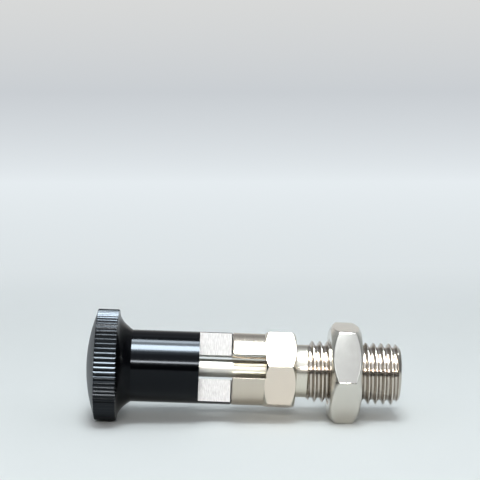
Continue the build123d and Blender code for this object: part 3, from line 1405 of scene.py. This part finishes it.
@dataclass
class LockNut:
    """Thin hexagon lock nut with tumbled edges.

    Args:
        thread: The thread in it.
        back: Station of its face towards the hexagon.
        front: Station of its face towards the thread's end.
        across_flats: Its size.
        face_radius: Radius of its round faces.
        chamfer_slope: Rise of the corner chamfers along the axis per mm of radius.
        corner_fillet: Radius of its long edges.
        edge_fillet: Radius of the edges of its flats.
        face_fillet: Radius of the edges of its round faces.
        face_ring: Width of the stretch of a face that follows the countersink.
        edge_steps: Steps over each of its rounded edges.
        mouth_radius: Radius of the countersinks at the faces.
        mouth_ring: Width of the flat ring just outside a countersink.
    """

    thread: Thread
    back: float = 6.6
    front: float = 12.6
    across_flats: float = 18.0
    face_radius: float = 8.45
    chamfer_slope: float = math.tan(math.radians(36.0))
    corner_fillet: float = 0.5
    edge_fillet: float = 0.3
    face_fillet: float = 0.4
    face_ring: float = 0.4
    edge_steps: int = 5
    mouth_radius: float = 6.53
    mouth_ring: float = 0.2

    def outline(self, radius_here: float) -> Outline:
        """Outline over the outside from one face to the other.

        Args:
            radius_here: Radius of the hexagon at the column's angle.

        Returns:
            The outline.
        """
        rise = (radius_here - self.face_radius) * self.chamfer_slope
        inner = self.mouth_radius + self.face_ring
        return filleted(
            [
                (self.back, inner, 0.0),
                (self.back, self.face_radius, self.face_fillet),
                (self.back + rise, radius_here, self.edge_fillet),
                (self.front - rise, radius_here, self.edge_fillet),
                (self.front, self.face_radius, self.face_fillet),
                (self.front, inner, 0.0),
            ],
            steps=self.edge_steps,
        )

    def mouth(self, station: float) -> Outline:
        """Flat ring just outside a countersink."""
        return [(station, self.mouth_radius), (station, self.mouth_radius + self.mouth_ring)]

    def mesh(self, tree: Tree, threaded: bpy.types.Material) -> bpy.types.Mesh:
        """Closed mesh of the nut in the level axis space.

        Args:
            tree: The thread's geometry tree.
            threaded: The thread's material.

        Returns:
            The mesh.
        """
        angles = hexagon_angles(self.across_flats, self.corner_fillet, self.edge_steps)
        radii = hexagon_radius(angles, self.across_flats, self.corner_fillet)
        fine = even_angles(self.thread.columns)
        start, end = (self.back, self.mouth_radius), (self.front, self.mouth_radius)
        parts = [
            columns_lathe((self.outline(radius) for radius in radii), angles),
            lathe(self.mouth(self.back), fine),
            lathe(self.mouth(self.front), fine),
            self.thread.wall(tree, start, end, threaded, inside=True),
        ]
        return tidied(stitched(parts, bridges=(self.back, self.front)))

    def region(self, centre: Vector, _normal: Vector) -> NutFace:
        """Which of the nut's surfaces a face with this centre belongs to."""
        return NutFace.THREAD if math.hypot(centre.y, centre.z) < self.mouth_radius else NutFace.OUTSIDE

    def build(self, tree: Tree, effects: Effects) -> bpy.types.Object:
        """Makes, dresses and seats the nut.

        Args:
            tree: The thread's geometry tree.
            effects: The shared groups.

        Returns:
            The finished piece.
        """
        finishes = {
            NutFace.OUTSIDE: MetalFinish(
                "tumbled_steel", Grain.TUMBLED, TUMBLED_STEEL,
                roughness=0.15, roughness_swing=0.05, spacing=0.12,
            ),
            # Painted shade: the nut's thread is darker steel
            NutFace.THREAD: MetalFinish(
                "nut_shaded_thread_steel", Grain.TURNED, THREAD_SHADE_STEEL, roughness=0.22, spacing=0.05
            ),
        }
        materials = [finishes[face].material(effects) for face in NutFace]
        mesh = self.mesh(tree, materials[NutFace.THREAD])
        piece = finished_piece("hexagon_nut", mesh, LAY.level(), materials, self.region)
        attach(piece, "nut")
        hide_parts("lock_nut")
        return piece


@dataclass
class LockingPin:
    """Round-nosed pin with its thinner tail.

    Args:
        radius: Radius of the pin.
        nose_bulge: How much larger the nose's radius is than the pin's.
        tail_radius: Radius of the tail.
        tip: Station of the nose.
        shoulder: Station of the step down to the tail.
        tail_end: Station of the tail's end.
        tail_chamfer: Chamfer on the tail's end.
        tail_fillet: Fillet of that chamfer's edges.
        head_fillet: Fillet of the edge at the step down to the tail.
        columns: Points round it.
    """

    radius: float = 3.0
    nose_bulge: float = 0.03
    tail_radius: float = TAIL_RADIUS
    tip: float = NOSE_STATION
    shoulder: float = PIN_SHOULDER
    tail_end: float = TAIL_END
    tail_chamfer: float = 0.3
    tail_fillet: float = 0.05
    head_fillet: float = 0.15
    columns: int = 160

    def nose(self, steps: int = 24) -> Outline:
        """Arc of the nose from the pin's side to its tip.

        Args:
            steps: Chords in the arc.

        Returns:
            The outline.
        """
        nose_radius = self.radius + self.nose_bulge
        widest = math.asin(self.radius / nose_radius)
        centre = self.tip - nose_radius
        return [
            (centre + nose_radius * math.cos(angle), nose_radius * math.sin(angle))
            for angle in np.linspace(widest, 0.0, steps + 1)
        ]

    def outline(self) -> Outline:
        """Outline from the tail's end to the nose's tip.

        Returns:
            The outline.
        """
        nose = self.nose()
        body = filleted(
            [
                (self.tail_end, 0.0, 0.0),
                (self.tail_end, self.tail_radius - self.tail_chamfer, self.tail_fillet),
                (self.tail_end + self.tail_chamfer, self.tail_radius, self.tail_fillet),
                (self.shoulder, self.tail_radius, 0.0),
                (self.shoulder, self.radius, self.head_fillet),
                (nose[0][0], self.radius, 0.0),
            ]
        )
        return body + nose

    def build(self, effects: Effects) -> bpy.types.Object:
        """Makes, dresses and seats the pin.

        Args:
            effects: The shared groups.

        Returns:
            The finished piece.
        """
        ground = MetalFinish(
            "ground_steel", Grain.TURNED, BRIGHT_STEEL,
            roughness=0.45, roughness_swing=0.06, spacing=0.04, relief=0.0006,
        )
        mesh = tidied(stitched([lathe(self.outline(), even_angles(self.columns))]))
        piece = finished_piece("round_nosed_pin", mesh, LAY.knob(), [ground.material(effects)])
        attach(piece, "plunger")
        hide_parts("locking_pin")
        return piece


@dataclass
class ReturnSpring:
    """Compression spring round the tail, which pushes the pin forward.

    Args:
        start: Station of its end on the housing's rear wall.
        length: Its length as it lies.
        mean_radius: Radius of its coils.
        wire_radius: Radius of its wire.
        coils: Number of coils.
        steps_per_turn: Steps along each coil.
        wire_steps: Steps round the wire.
        pull: How far the knob can draw the pin's shoulder towards it. Not used.
    """

    start: float = GUIDE_BOTTOM
    length: float = PIN_SHOULDER - GUIDE_BOTTOM
    mean_radius: float = 2.45
    wire_radius: float = 0.25
    coils: float = 4.0
    steps_per_turn: int = 48
    wire_steps: int = 14
    pull: float = 2.0

    def build(self, tree: Tree, effects: Effects) -> bpy.types.Object:
        """Makes, dresses and seats the spring.

        Args:
            tree: The coil's geometry tree.
            effects: The shared groups.

        Returns:
            The finished piece.
        """
        wire = MetalFinish("spring_steel", Grain.TUMBLED, PRONG_SHADE_STEEL, roughness=0.25, relief=0.001)
        material = wire.material(effects)
        values = {
            "Coils": self.coils,
            "Mean Radius": self.mean_radius,
            "Wire Radius": self.wire_radius,
            "Length": self.length,
            "Steps Per Turn": self.steps_per_turn,
            "Steps Round Wire": self.wire_steps,
            "Material": material,
        }
        mesh = grown(tree, values)
        mesh.transform(Matrix.Translation((self.start, 0, 0)) @ Matrix.Rotation(math.pi / 2, 4, "Y"))
        piece = finished_piece("return_spring", tidied(mesh), LAY.knob(), [material])
        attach(piece, "spring_coil")
        level = LAY.level()
        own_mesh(piece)
        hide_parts("spring")
        return piece


class KnobFace(IntEnum):
    """Surfaces of the knob, in the order of its materials."""

    SLEEVE = 0
    RIBS = 1
    DOME = 2
    MILLED = 3
    FLARE = 4
    BORE = 5


@dataclass
class PullKnob:
    """Black knob: dome, knurled rim, flare, sleeve and two milled tongues.

    Args:
        end: Station of the dome's top.
        rim_back: Station of the rim's face towards the dome.
        rim_front: Station of its face towards the sleeve.
        rim_radius: Radius over the ribs.
        rim_chamfer: Chamfer on the rim's edges.
        land_radius: Radius where the dome and the flare begin.
        ribs: Number of ribs.
        crest_crowding: How closely the points across a rib crowd towards its crest, where 1 is evenly.
        flank_slope: Lean of a groove's flanks at its bottom, in degrees.
        flank_swell: How fast the flanks reach that lean, where 0 is at once and 1 is evenly.
        flank_steps: Steps over one flank.
        sleeve_end: Station where the flare meets the sleeve.
        sleeve_radius: Radius of the sleeve.
        flare_corner: Place before the rim and beyond the sleeve where the flare's slopes meet.
        shoulder: Station of the sleeve's shoulder.
        tongue_end: Station of the tongues' ends.
        tongue_thickness: Thickness of the tongues.
        end_break: Chamfer on the ends of the tongues' flats.
        tip_break: Chamfer on the ends of their round backs.
        tip_fillet: Fillet of that chamfer's outer edge.
        fine_fillet: Fillet of its edge towards the ends.
        bore_break: Chamfer on the bore's mouth.
        bore_radius: Radius of the bore round the tail.
        bore_end: Station of its bottom.
        grip_radius: Radius of the blind hole that holds the tail.
        grip_end: Station of that hole's bottom.
        end_steps: Steps over the round end of a rib.
        slack: How near a face counts as lying on the rim's back or on a flat.
        flat_lean: Least share of its normal that a face of the flats has across them.
    """

    end: float = -40.63
    rim_back: float = -38.73
    rim_front: float = -34.53
    rim_radius: float = 10.8
    rim_chamfer: float = 0.2
    land_radius: float = 10.35
    ribs: int = 70
    crest_crowding: float = 1.5
    flank_slope: float = 42.0
    flank_swell: float = 0.25
    flank_steps: int = 6
    sleeve_end: float = -31.83
    sleeve_radius: float = 7.0
    flare_corner: tuple[float, float] = (0.33, 1.48)
    shoulder: float = -18.73
    tongue_end: float = -12.33
    tongue_thickness: float = 4.4
    end_break: float = 0.16
    tip_break: float = 0.15
    tip_fillet: float = 0.08
    fine_fillet: float = 0.05
    bore_break: float = 0.1
    bore_radius: float = 3.2
    bore_end: float = -22.73
    grip_radius: float = TAIL_RADIUS
    grip_end: float = TAIL_END
    end_steps: int = 4
    slack: float = 0.01
    flat_lean: float = 0.9

    def first_rib(self) -> float:
        """Angle in radians of the groove before the rib that faces the floor."""
        return math.radians(-90.0 - LAY.housing_roll - LAY.knob_turn) - math.pi / self.ribs

    def rib_profile(self) -> list[tuple[float, float]]:
        """(angle, radius) across one rib from the middle of one groove to the next.

        Its sides steepen quickly beside the crest and then run nearly straight into the grooves.

        Returns:
            The points in order.
        """
        half_pitch = math.pi * self.rim_radius / self.ribs
        across = np.linspace(0.0, 1.0, self.flank_steps + 1) ** self.crest_crowding
        slope = np.radians(self.flank_slope) * ((across[1:] + across[:-1]) / 2) ** self.flank_swell
        drop = np.concatenate([[0.0], np.cumsum(np.tan(slope) * np.diff(across))]) * half_pitch
        right = [(share * half_pitch, fall) for share, fall in zip(across, drop)]
        left = [(-place, fall) for place, fall in reversed(right[1:])]
        line = left + right
        return [((place + half_pitch) / self.rim_radius, self.rim_radius - fall) for place, fall in line]

    def rim_cell(self) -> bpy.types.Mesh:
        """Outer wall of one rib with its chamfered ends, to be repeated round the rim.

        Returns:
            The open mesh.
        """
        profile = np.array(self.rib_profile())
        turns = np.linspace(0.0, math.pi / 2, self.end_steps + 1)
        along = self.rim_chamfer * (1.0 - np.cos(turns))
        ceiling = self.edge_radius() + self.rim_chamfer * np.sin(turns)
        stations = np.concatenate([self.rim_back + along, self.rim_front - along[::-1]])
        ceilings = np.concatenate([ceiling, ceiling[::-1]])
        radii = np.minimum(profile[:, 1], ceilings[:, None])
        return surface(stations[:, None], radii, profile[:, 0], whole_turn=False)

    def angles(self) -> np.ndarray:
        """Angles of all the rim's columns, which the rest of the knob shares.

        Returns:
            The angles in radians.
        """
        pitch = 2 * math.pi / self.ribs
        one = np.array([angle for angle, _ in self.rib_profile()[:-1]])
        return (self.first_rib() + np.arange(self.ribs)[:, None] * pitch + one).ravel()

    def edge_radius(self) -> float:
        """Radius where the ribs' ends meet the flat rings beside the rim."""
        return self.rim_radius - self.rim_chamfer

    def edges(self) -> list[float]:
        """Radius at the edge of the rim's sides for each of its columns."""
        one = [min(radius, self.edge_radius()) for _, radius in self.rib_profile()[:-1]]
        return one * self.ribs

    def dome(self, edge: float, steps: int = 18) -> Outline:
        """Crown from its top to the rim's back, which ends at the given radius.

        Args:
            edge: Radius where it meets the rim.
            steps: Chords in its arc.

        Returns:
            The outline.
        """
        height = self.rim_back - self.end
        ball = (self.land_radius**2 + height**2) / (2 * height)
        widest = math.asin(self.land_radius / ball)
        centre = self.end + ball
        crown = [
            (centre - ball * math.cos(angle), ball * math.sin(angle))
            for angle in np.linspace(0.0, widest, steps + 1)
        ]
        return crown + [(self.rim_back, edge)]

    def flare(self, steps: int = 16) -> Outline:
        """Hollow curve from the rim's front to the sleeve.

        Args:
            steps: Chords in the curve.

        Returns:
            The outline.
        """
        start = Vector((self.rim_front, self.land_radius))
        corner = Vector((self.rim_front + self.flare_corner[0], self.sleeve_radius + self.flare_corner[1]))
        return bend(start, corner, Vector((self.sleeve_end, self.sleeve_radius)), steps)

    def front_outline(self, edge: float) -> Outline:
        """Outline from the rim's front at the given radius over the sleeve and down the bores.

        Args:
            edge: Radius where it leaves the rim.

        Returns:
            The outline.
        """
        tip = filleted(
            [
                (self.sleeve_end, self.sleeve_radius, 0.0),
                (self.shoulder, self.sleeve_radius, 0.0),
                (self.tongue_end - self.tip_break, self.sleeve_radius, self.tip_fillet),
                (self.tongue_end, self.sleeve_radius - self.tip_break, self.fine_fillet),
                (self.tongue_end, self.bore_radius + self.bore_break, 0.0),
                (self.tongue_end - self.bore_break, self.bore_radius, 0.0),
                (self.bore_end, self.bore_radius, 0.0),
                (self.bore_end, self.grip_radius, 0.0),
                (self.grip_end, self.grip_radius, 0.0),
                (self.grip_end, 0.0, 0.0),
            ]
        )
        return [(self.rim_front, edge)] + self.flare() + tip[1:]

    def cheek_cutter(self, side: int) -> bpy.types.Mesh:
        """Block that is milled off one side of the tongues.

        Args:
            side: 1 for the side on +Z and -1 for the one on -Z.

        Returns:
            The closed block.
        """
        near, far = side * self.tongue_thickness / 2, side * 2 * self.sleeve_radius
        deep = near - side * self.end_break
        beyond = self.tongue_end + PAST
        section = [
            (self.shoulder, near),
            (self.tongue_end - self.end_break, near),
            (self.tongue_end, deep),
            (beyond, deep),
            (beyond, far),
            (self.shoulder, far),
        ]
        return prism(section, (0, 2), 1, 2 * self.sleeve_radius)

    def mesh(self, tree: Tree, black: bpy.types.Material) -> bpy.types.Mesh:
        """Closed mesh of the knob in its own turned axis space.

        Args:
            tree: The knurl's geometry tree.
            black: The ribs' material.

        Returns:
            The mesh.
        """
        angles = self.angles()
        values = {"Ribs": self.ribs, "First Angle": self.first_rib(), "Material": black}
        rim = grown(tree, values, self.rim_cell())
        crown = columns_lathe((self.dome(edge) for edge in self.edges()), angles)
        sleeve = columns_lathe((self.front_outline(edge) for edge in self.edges()), angles)
        whole = stitched([crown, rim, sleeve])
        for side in (-1, 1):
            whole = cut(whole, self.cheek_cutter(side))
        return tidied(whole)

    def region(self, centre: Vector, normal: Vector) -> KnobFace:
        """Which of the knob's surfaces a face belongs to.

        Args:
            centre: Middle of the face.
            normal: Its normal.

        Returns:
            The surface.
        """
        radius = math.hypot(centre.y, centre.z)
        if centre.x < self.rim_back + self.slack:
            return KnobFace.DOME
        if centre.x < self.rim_front and radius > self.land_radius:
            return KnobFace.RIBS
        if radius < self.bore_radius + 2 * self.slack:
            return KnobFace.BORE
        near_flat = abs(abs(centre.z) - self.tongue_thickness / 2) < self.slack
        if near_flat and abs(normal.z) > self.flat_lean and centre.x > self.shoulder:
            return KnobFace.MILLED
        return KnobFace.FLARE if centre.x < self.sleeve_end else KnobFace.SLEEVE

    def black(
        self, name: str, grain: Grain, roughness: float, spacing: float, relief: float, specular: float
    ) -> MetalFinish:
        """Black anodised finish of one of the knob's surfaces.

        Args:
            name: Name of the material.
            grain: What left its texture.
            roughness: Middle roughness.
            spacing: Distance between marks, in mm.
            relief: Depth of the marks, in mm.
            specular: Strength of its reflection.

        Returns:
            The finish.
        """
        return MetalFinish(
            name, grain, BLACK_LAYER, metallic=0.0, roughness=roughness, roughness_swing=0.05,
            spacing=spacing, relief=relief, specular=specular, specular_tint=BLACK_SHEEN,
        )

    def build(self, tree: Tree, effects: Effects) -> bpy.types.Object:
        """Makes, dresses and seats the knob.

        Args:
            tree: The knurl's geometry tree.
            effects: The shared groups.

        Returns:
            The finished piece.
        """
        turned, faced, tumbled = Grain.TURNED, Grain.FACED, Grain.TUMBLED
        finishes = {
            KnobFace.SLEEVE: self.black(
                "black_sleeve", turned, roughness=0.13, spacing=0.09, relief=0.0012, specular=0.2
            ),
            KnobFace.RIBS: self.black(
                "black_ribs", tumbled, roughness=0.24, spacing=0.1, relief=0.001, specular=0.36
            ),
            KnobFace.DOME: self.black(
                "black_dome", faced, roughness=0.42, spacing=0.07, relief=0.002, specular=0.85
            ),
            KnobFace.MILLED: MetalFinish(
                "milled_aluminium", Grain.MILLED, BARE_ALUMINIUM, roughness=0.5, spacing=0.2, relief=0.014,
                shade_swing=1.0, roll=LAY.housing_roll + LAY.knob_turn,
            ),
            KnobFace.FLARE: self.black(
                "black_flare", faced, roughness=0.2, spacing=0.08, relief=0.0015, specular=0.12
            ),
            KnobFace.BORE: MetalFinish("bored_aluminium", turned, BORED_ALUMINIUM, roughness=0.35),
        }
        materials = [finishes[face].material(effects) for face in KnobFace]
        mesh = self.mesh(tree, materials[KnobFace.RIBS])
        piece = finished_piece("pull_knob", mesh, LAY.knob(), materials, self.region)
        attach(piece, "plunger")
        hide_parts("knob")
        return piece


# --------------------------------------------------------------------------------------
# Studio
# --------------------------------------------------------------------------------------


COOL_LIGHT = (0.88, 0.96, 1.0)
NEUTRAL_LIGHT = (1.0, 0.98, 0.95)
SENSOR_WIDTH = 36.0  # mm


class Reach(Enum):
    """Which surfaces a lamp works on."""

    ALL = "all"
    MIRRORED = "mirrored"


@dataclass
class Softbox:
    """A rectangular lamp that faces the plunger.

    Args:
        name: Its name.
        elevation: Height of its middle above the front horizon, in degrees, past 90 behind.
        distance: Distance from the plunger in metres.
        tall: Its size across, as an angle in degrees seen from the plunger.
        radiance: Its brightness, where 1 is a fully lit white.
        wide: Its size along the plunger, as an angle in degrees alike.
        color: Its colour.
        side: How far it stands to the right, in metres.
        reach: Whether it lights everything, or is only mirrored by glossy surfaces.
    """

    name: str
    elevation: float
    distance: float
    tall: float
    radiance: float
    wide: float = 18.0
    color: Color = COOL_LIGHT
    side: float = 0.0
    reach: Reach = Reach.ALL

    def build(self, target: Vector) -> None:
        """Hangs the lamp so that it faces the target.

        Args:
            target: The place that it faces.
        """
        lamp = bpy.data.lights.new(self.name, "AREA")
        lamp.shape = "RECTANGLE"
        lamp.size = 2 * self.distance * math.tan(math.radians(self.wide / 2))
        lamp.size_y = 2 * self.distance * math.tan(math.radians(self.tall / 2))
        lamp.energy = self.radiance * math.pi * lamp.size * lamp.size_y
        lamp.color = self.color
        item = linked(self.name, lamp)
        angle = math.radians(self.elevation)
        offset = Vector((self.side, -math.cos(angle) * self.distance, math.sin(angle) * self.distance))
        item.location = target + offset
        item.rotation_mode = "QUATERNION"
        item.rotation_quaternion = (-offset).to_track_quat("-Z", "Y")
        item.visible_camera = False
        item.visible_diffuse = self.reach is Reach.ALL


@dataclass
class Studio:
    """Pale sweep, lamps, surroundings and camera.

    Args:
        sweep_start: Where the floor starts to curve up behind the plunger, in metres.
        sweep_radius: Radius of that curve.
        sweep_steps: Steps over that curve.
        wall_height: Height of the wall above the curve.
        half_width: Half the width of the sweep.
        front: How far the floor runs towards the viewer.
        flat_rows: Places of the rows of points that keep the floor even before the curve.
        floor_color: Colour of the sweep.
        floor_mottle: How much of that colour the faint mottle takes away at most.
        mottle_density: How many patches of the mottle there are in a metre.
        floor_roughness: Roughness of the paper.
        floor_specular: Strength of its reflection.
        near_tone: Where the far sweep's first painted tone is, as its place behind plus its height, and the
            tone.
        pale_tone: The same for its palest stretch.
        grey_tone: The same for the greyer stretch above.
        high_tone: The same for its top.
        room_tone: The same for the painted dim room over it.
        fade: Where the lit paper begins to fade into those tones, and where only they are left.
        tone_half_width: Half the width of the stretch that has those tones.
        room_tint: Colour of the room's own light.
        low_front: Brightness of the room low in front.
        front_wall: Brightness of the room in front, between 30 and 60 degrees up.
        ceiling: Brightness of the room high up in front.
        front_share: Share of those three that is left behind the plunger.
        rear_wall: Brightness of the room behind.
        side_walls: Brightness of the room at both sides.
        rise_edge: Height of a direction, as its sine, over which the low front turns into the wall.
        ceiling_edge: Height alike over which the wall turns into the ceiling.
        front_edge: How far back a direction points where the front gives way to the back.
        rear_edge: How far back it points where the rear wall comes up.
        side_edge: How far sideways it points where the side walls come up.
        aim: The place that the lamps face, in metres.
        camera_place: The camera's place in metres.
        camera_yaw: Its turn to the right, in degrees.
        camera_pitch: Its tilt down, in degrees.
        lens: Its focal length in mm.
    """

    sweep_start: float = 0.43
    sweep_radius: float = 0.12
    sweep_steps: int = 24
    wall_height: float = 0.6
    half_width: float = 3.0
    front: float = -3.0
    flat_rows: tuple[float, float] = (-0.3, 0.0)
    floor_color: Color = (0.76, 0.775, 0.76)
    floor_mottle: float = 0.02
    mottle_density: float = 30.0
    floor_roughness: float = 0.85
    floor_specular: float = 0.15
    near_tone: Tone = (0.15, (0.71, 0.76, 0.78))
    pale_tone: Tone = (0.45, (0.79, 0.84, 0.87))
    grey_tone: Tone = (0.56, (0.59, 0.62, 0.65))
    high_tone: Tone = (0.69, (0.76, 0.75, 0.72))
    room_tone: Tone = (0.80, (0.28, 0.29, 0.31))
    fade: Span = (0.07, 0.2)
    tone_half_width: float = 0.25
    room_tint: Color = (0.92, 0.97, 1.04)
    low_front: float = 0.02
    front_wall: float = 0.78
    ceiling: float = 0.25
    front_share: float = 0.7
    rear_wall: float = 0.25
    side_walls: float = 0.15
    rise_edge: Span = (0.44, 0.56)
    ceiling_edge: Span = (0.84, 0.92)
    front_edge: Span = (-0.1, 0.2)
    rear_edge: Span = (0.0, 0.45)
    side_edge: Span = (0.5, 0.85)
    aim: tuple[float, float, float] = (0.0, 0.0, 0.01)
    camera_place: tuple[float, float, float] = (-0.00637, -0.31125, 0.0779)
    camera_yaw: float = 1.05
    camera_pitch: float = 7.79
    lens: float = 121.8

    def sweep(self) -> None:
        """Builds the floor that curves up into a wall."""
        line = [(place, 0.0) for place in (self.front, *self.flat_rows, self.sweep_start)]
        for angle in np.linspace(0.0, math.pi / 2, self.sweep_steps + 1)[1:]:
            back = self.sweep_start + self.sweep_radius * math.sin(angle)
            line.append((back, self.sweep_radius * (1.0 - math.cos(angle))))
        line.append((line[-1][0], line[-1][1] + self.wall_height))
        points = [(x, y, z) for y, z in line for x in (-self.half_width, self.half_width)]
        quads = [(2 * i, 2 * i + 1, 2 * i + 3, 2 * i + 2) for i in range(len(line) - 1)]
        mesh = bpy.data.meshes.new("pale_sweep")
        mesh.from_pydata(points, [], quads)
        mesh.polygons.foreach_set("use_smooth", [True] * len(mesh.polygons))
        mesh.materials.append(self.paper())
        item = linked("pale_sweep", mesh)

    def paper(self) -> bpy.types.Material:
        """Matt pale paper with a faint mottle, which fades far behind into glowing painted tones, from pale
        to a dim grey, for camera and glossy rays.

        Returns:
            The material.
        """
        material, tree, shader = new_material("pale_paper")
        place = tree.add("ShaderNodeTexCoord")
        patches = {"Vector": place.outputs["Object"], "Scale": self.mottle_density}
        mottle = tree.out("ShaderNodeTexNoise", patches)
        shade = tree.math("MULTIPLY_ADD", mottle, self.floor_mottle, 1.0 - self.floor_mottle / 2)
        tree.feed(shader.inputs["Base Color"], tree.scaled(self.floor_color, shade))
        shader.inputs["Roughness"].default_value = self.floor_roughness
        shader.inputs["Specular IOR Level"].default_value = self.floor_specular
        split = tree.add("ShaderNodeSeparateXYZ", {0: place.outputs["Object"]})
        travel = tree.math("ADD", split.outputs["Y"], split.outputs["Z"])
        # Painted light: the far paper glows in these tones for camera and glossy rays.
        glow = tree.out("ShaderNodeEmission", {"Color": self.painted_far_tone(tree, travel), "Strength": 1.0})
        behind = tree.step(travel, self.fade, 0.0, 1.0, "SMOOTHSTEP")
        sideways = tree.math("ABSOLUTE", split.outputs["X"])
        near_middle = tree.step(sideways, (self.tone_half_width, 2 * self.tone_half_width), 1.0, 0.0)
        path = tree.add("ShaderNodeLightPath")
        looked_at = tree.math("MAXIMUM", path.outputs["Is Camera Ray"], path.outputs["Is Glossy Ray"])
        looked_at = tree.math("MAXIMUM", looked_at, path.outputs["Is Transmission Ray"])
        share = tree.math("MULTIPLY", tree.math("MULTIPLY", behind, near_middle), looked_at)
        mixed = tree.out("ShaderNodeMixShader", {0: share, 1: shader.outputs[0], 2: glow})
        tree.feed(material.node_tree.nodes["Material Output"].inputs["Surface"], mixed)
        material.cycles.emission_sampling = "NONE"
        return material

    def painted_far_tone(self, tree: Tree, travel: bpy.types.NodeSocket) -> bpy.types.NodeSocket:
        """Adds the painted glow tones of the far sweep, which pass into each other and paint how the light
        falls off over the backdrop.

        Args:
            tree: The paper's tree.
            travel: A point's place behind the plunger plus its height.

        Returns:
            The socket of the colour.
        """
        tones = (self.near_tone, self.pale_tone, self.grey_tone, self.high_tone, self.room_tone)
        first, last = tones[0][0], tones[-1][0]
        ramp = tree.add("ShaderNodeValToRGB", {"Fac": tree.step(travel, (first, last), 0.0, 1.0)})
        stops = ramp.color_ramp.elements
        for index, (station, tone) in enumerate(tones):
            at = (station - first) / (last - first)
            stop = stops[index] if index < len(stops) else stops.new(at)
            stop.position = at
            stop.color = (*tone, 1.0)
        return ramp.outputs[0]

    def surroundings(self) -> None:
        """Room light: dim low in front, bright higher up in front, weaker behind and at the sides."""
        world = bpy.data.worlds.new("studio_room")
        bpy.context.scene.world = world
        world.use_nodes = True
        tree = Tree(world.node_tree)
        direction = tree.add("ShaderNodeTexCoord")
        split = tree.add("ShaderNodeSeparateXYZ", {0: direction.outputs["Generated"]})
        back, up = split.outputs["Y"], split.outputs["Z"]
        rise = tree.step(up, self.rise_edge, self.low_front, self.front_wall)
        fall = tree.step(up, self.ceiling_edge, self.front_wall, self.ceiling)
        towards_viewer = tree.step(back, self.front_edge, 1.0, self.front_share)
        in_front = tree.math("MULTIPLY", tree.math("MINIMUM", rise, fall), towards_viewer)
        behind = tree.step(back, self.rear_edge, 0.0, self.rear_wall)
        sideways = tree.math("ABSOLUTE", split.outputs["X"])
        beside = tree.step(sideways, self.side_edge, 0.0, self.side_walls)
        level = tree.math("MAXIMUM", tree.math("MAXIMUM", in_front, behind), beside)
        glow = tree.scaled(self.room_tint, level)
        tree.feed(world.node_tree.nodes["Background"].inputs["Color"], glow)

    def lamps(self) -> None:
        """Hangs an overhead softbox, a weaker one behind it and a narrow lamp above the viewer.

        The other lamps are only mirrored, which widens and strengthens the highlights.
        """
        overhead = {"elevation": 73.4, "tall": 17.0}
        rear = {"elevation": 98.4, "tall": 9.0}
        beside = {"elevation": 42.0, "distance": 0.6, "tall": 22.0, "wide": 22.0}
        mirrored = {"reach": Reach.MIRRORED}
        for lamp in (
            Softbox("overhead_softbox", distance=0.6, radiance=14.6, **overhead),
            Softbox("overhead_mirror_glow", distance=0.59, radiance=40.0, **overhead, **mirrored),
            Softbox("rear_softbox", distance=0.6, radiance=6.0, **rear),
            Softbox("rear_mirror_glow", distance=0.59, radiance=18.0, **rear, **mirrored),
            Softbox("ceiling_spill", elevation=77.5, distance=0.62, tall=36.0, radiance=9.0, **mirrored),
            Softbox(
                "wide_ceiling_spill", elevation=75.0, distance=0.64, tall=48.0, radiance=1.2, **mirrored
            ),
            Softbox(
                "front_strip", elevation=25.0, distance=0.7, tall=4.5, radiance=40.0, color=NEUTRAL_LIGHT
            ),
            Softbox("left_glow", radiance=3.4, side=-0.55, **beside, **mirrored),
            Softbox("right_glow", radiance=3.0, side=0.55, **beside, **mirrored),
        ):
            lamp.build(Vector(self.aim))

    def camera(self) -> None:
        """Creates the camera and makes it the scene's."""
        data = bpy.data.cameras.new("viewer")
        data.lens = self.lens
        data.sensor_width = SENSOR_WIDTH
        data.clip_start, data.clip_end = 0.01, 20.0
        item = linked("viewer", data)
        item.location = self.camera_place
        item.rotation_euler = (math.radians(90.0 - self.camera_pitch), 0.0, -math.radians(self.camera_yaw))
        bpy.context.scene.camera = item

    def build(self) -> None:
        """Builds the whole studio."""
        self.sweep()
        self.surroundings()
        self.lamps()
        self.camera()
        bpy.context.scene.view_settings.view_transform = "Standard"


def main() -> None:
    """Builds the studio and every piece in order."""
    logging.basicConfig(level=logging.INFO, format="%(name)s: %(message)s")
    Studio().build()
    effects = Effects()
    thread, threads, knurl, coil = Thread(), thread_tree(), ring_of_ribs_tree(), coil_tree()
    report(Housing(thread).build(threads, effects))
    report(LockNut(thread).build(threads, effects))
    report(LockingPin().build(effects))
    report(ReturnSpring().build(coil, effects))
    report(PullKnob().build(knurl, effects))


if __name__ == "__main__":
    main()
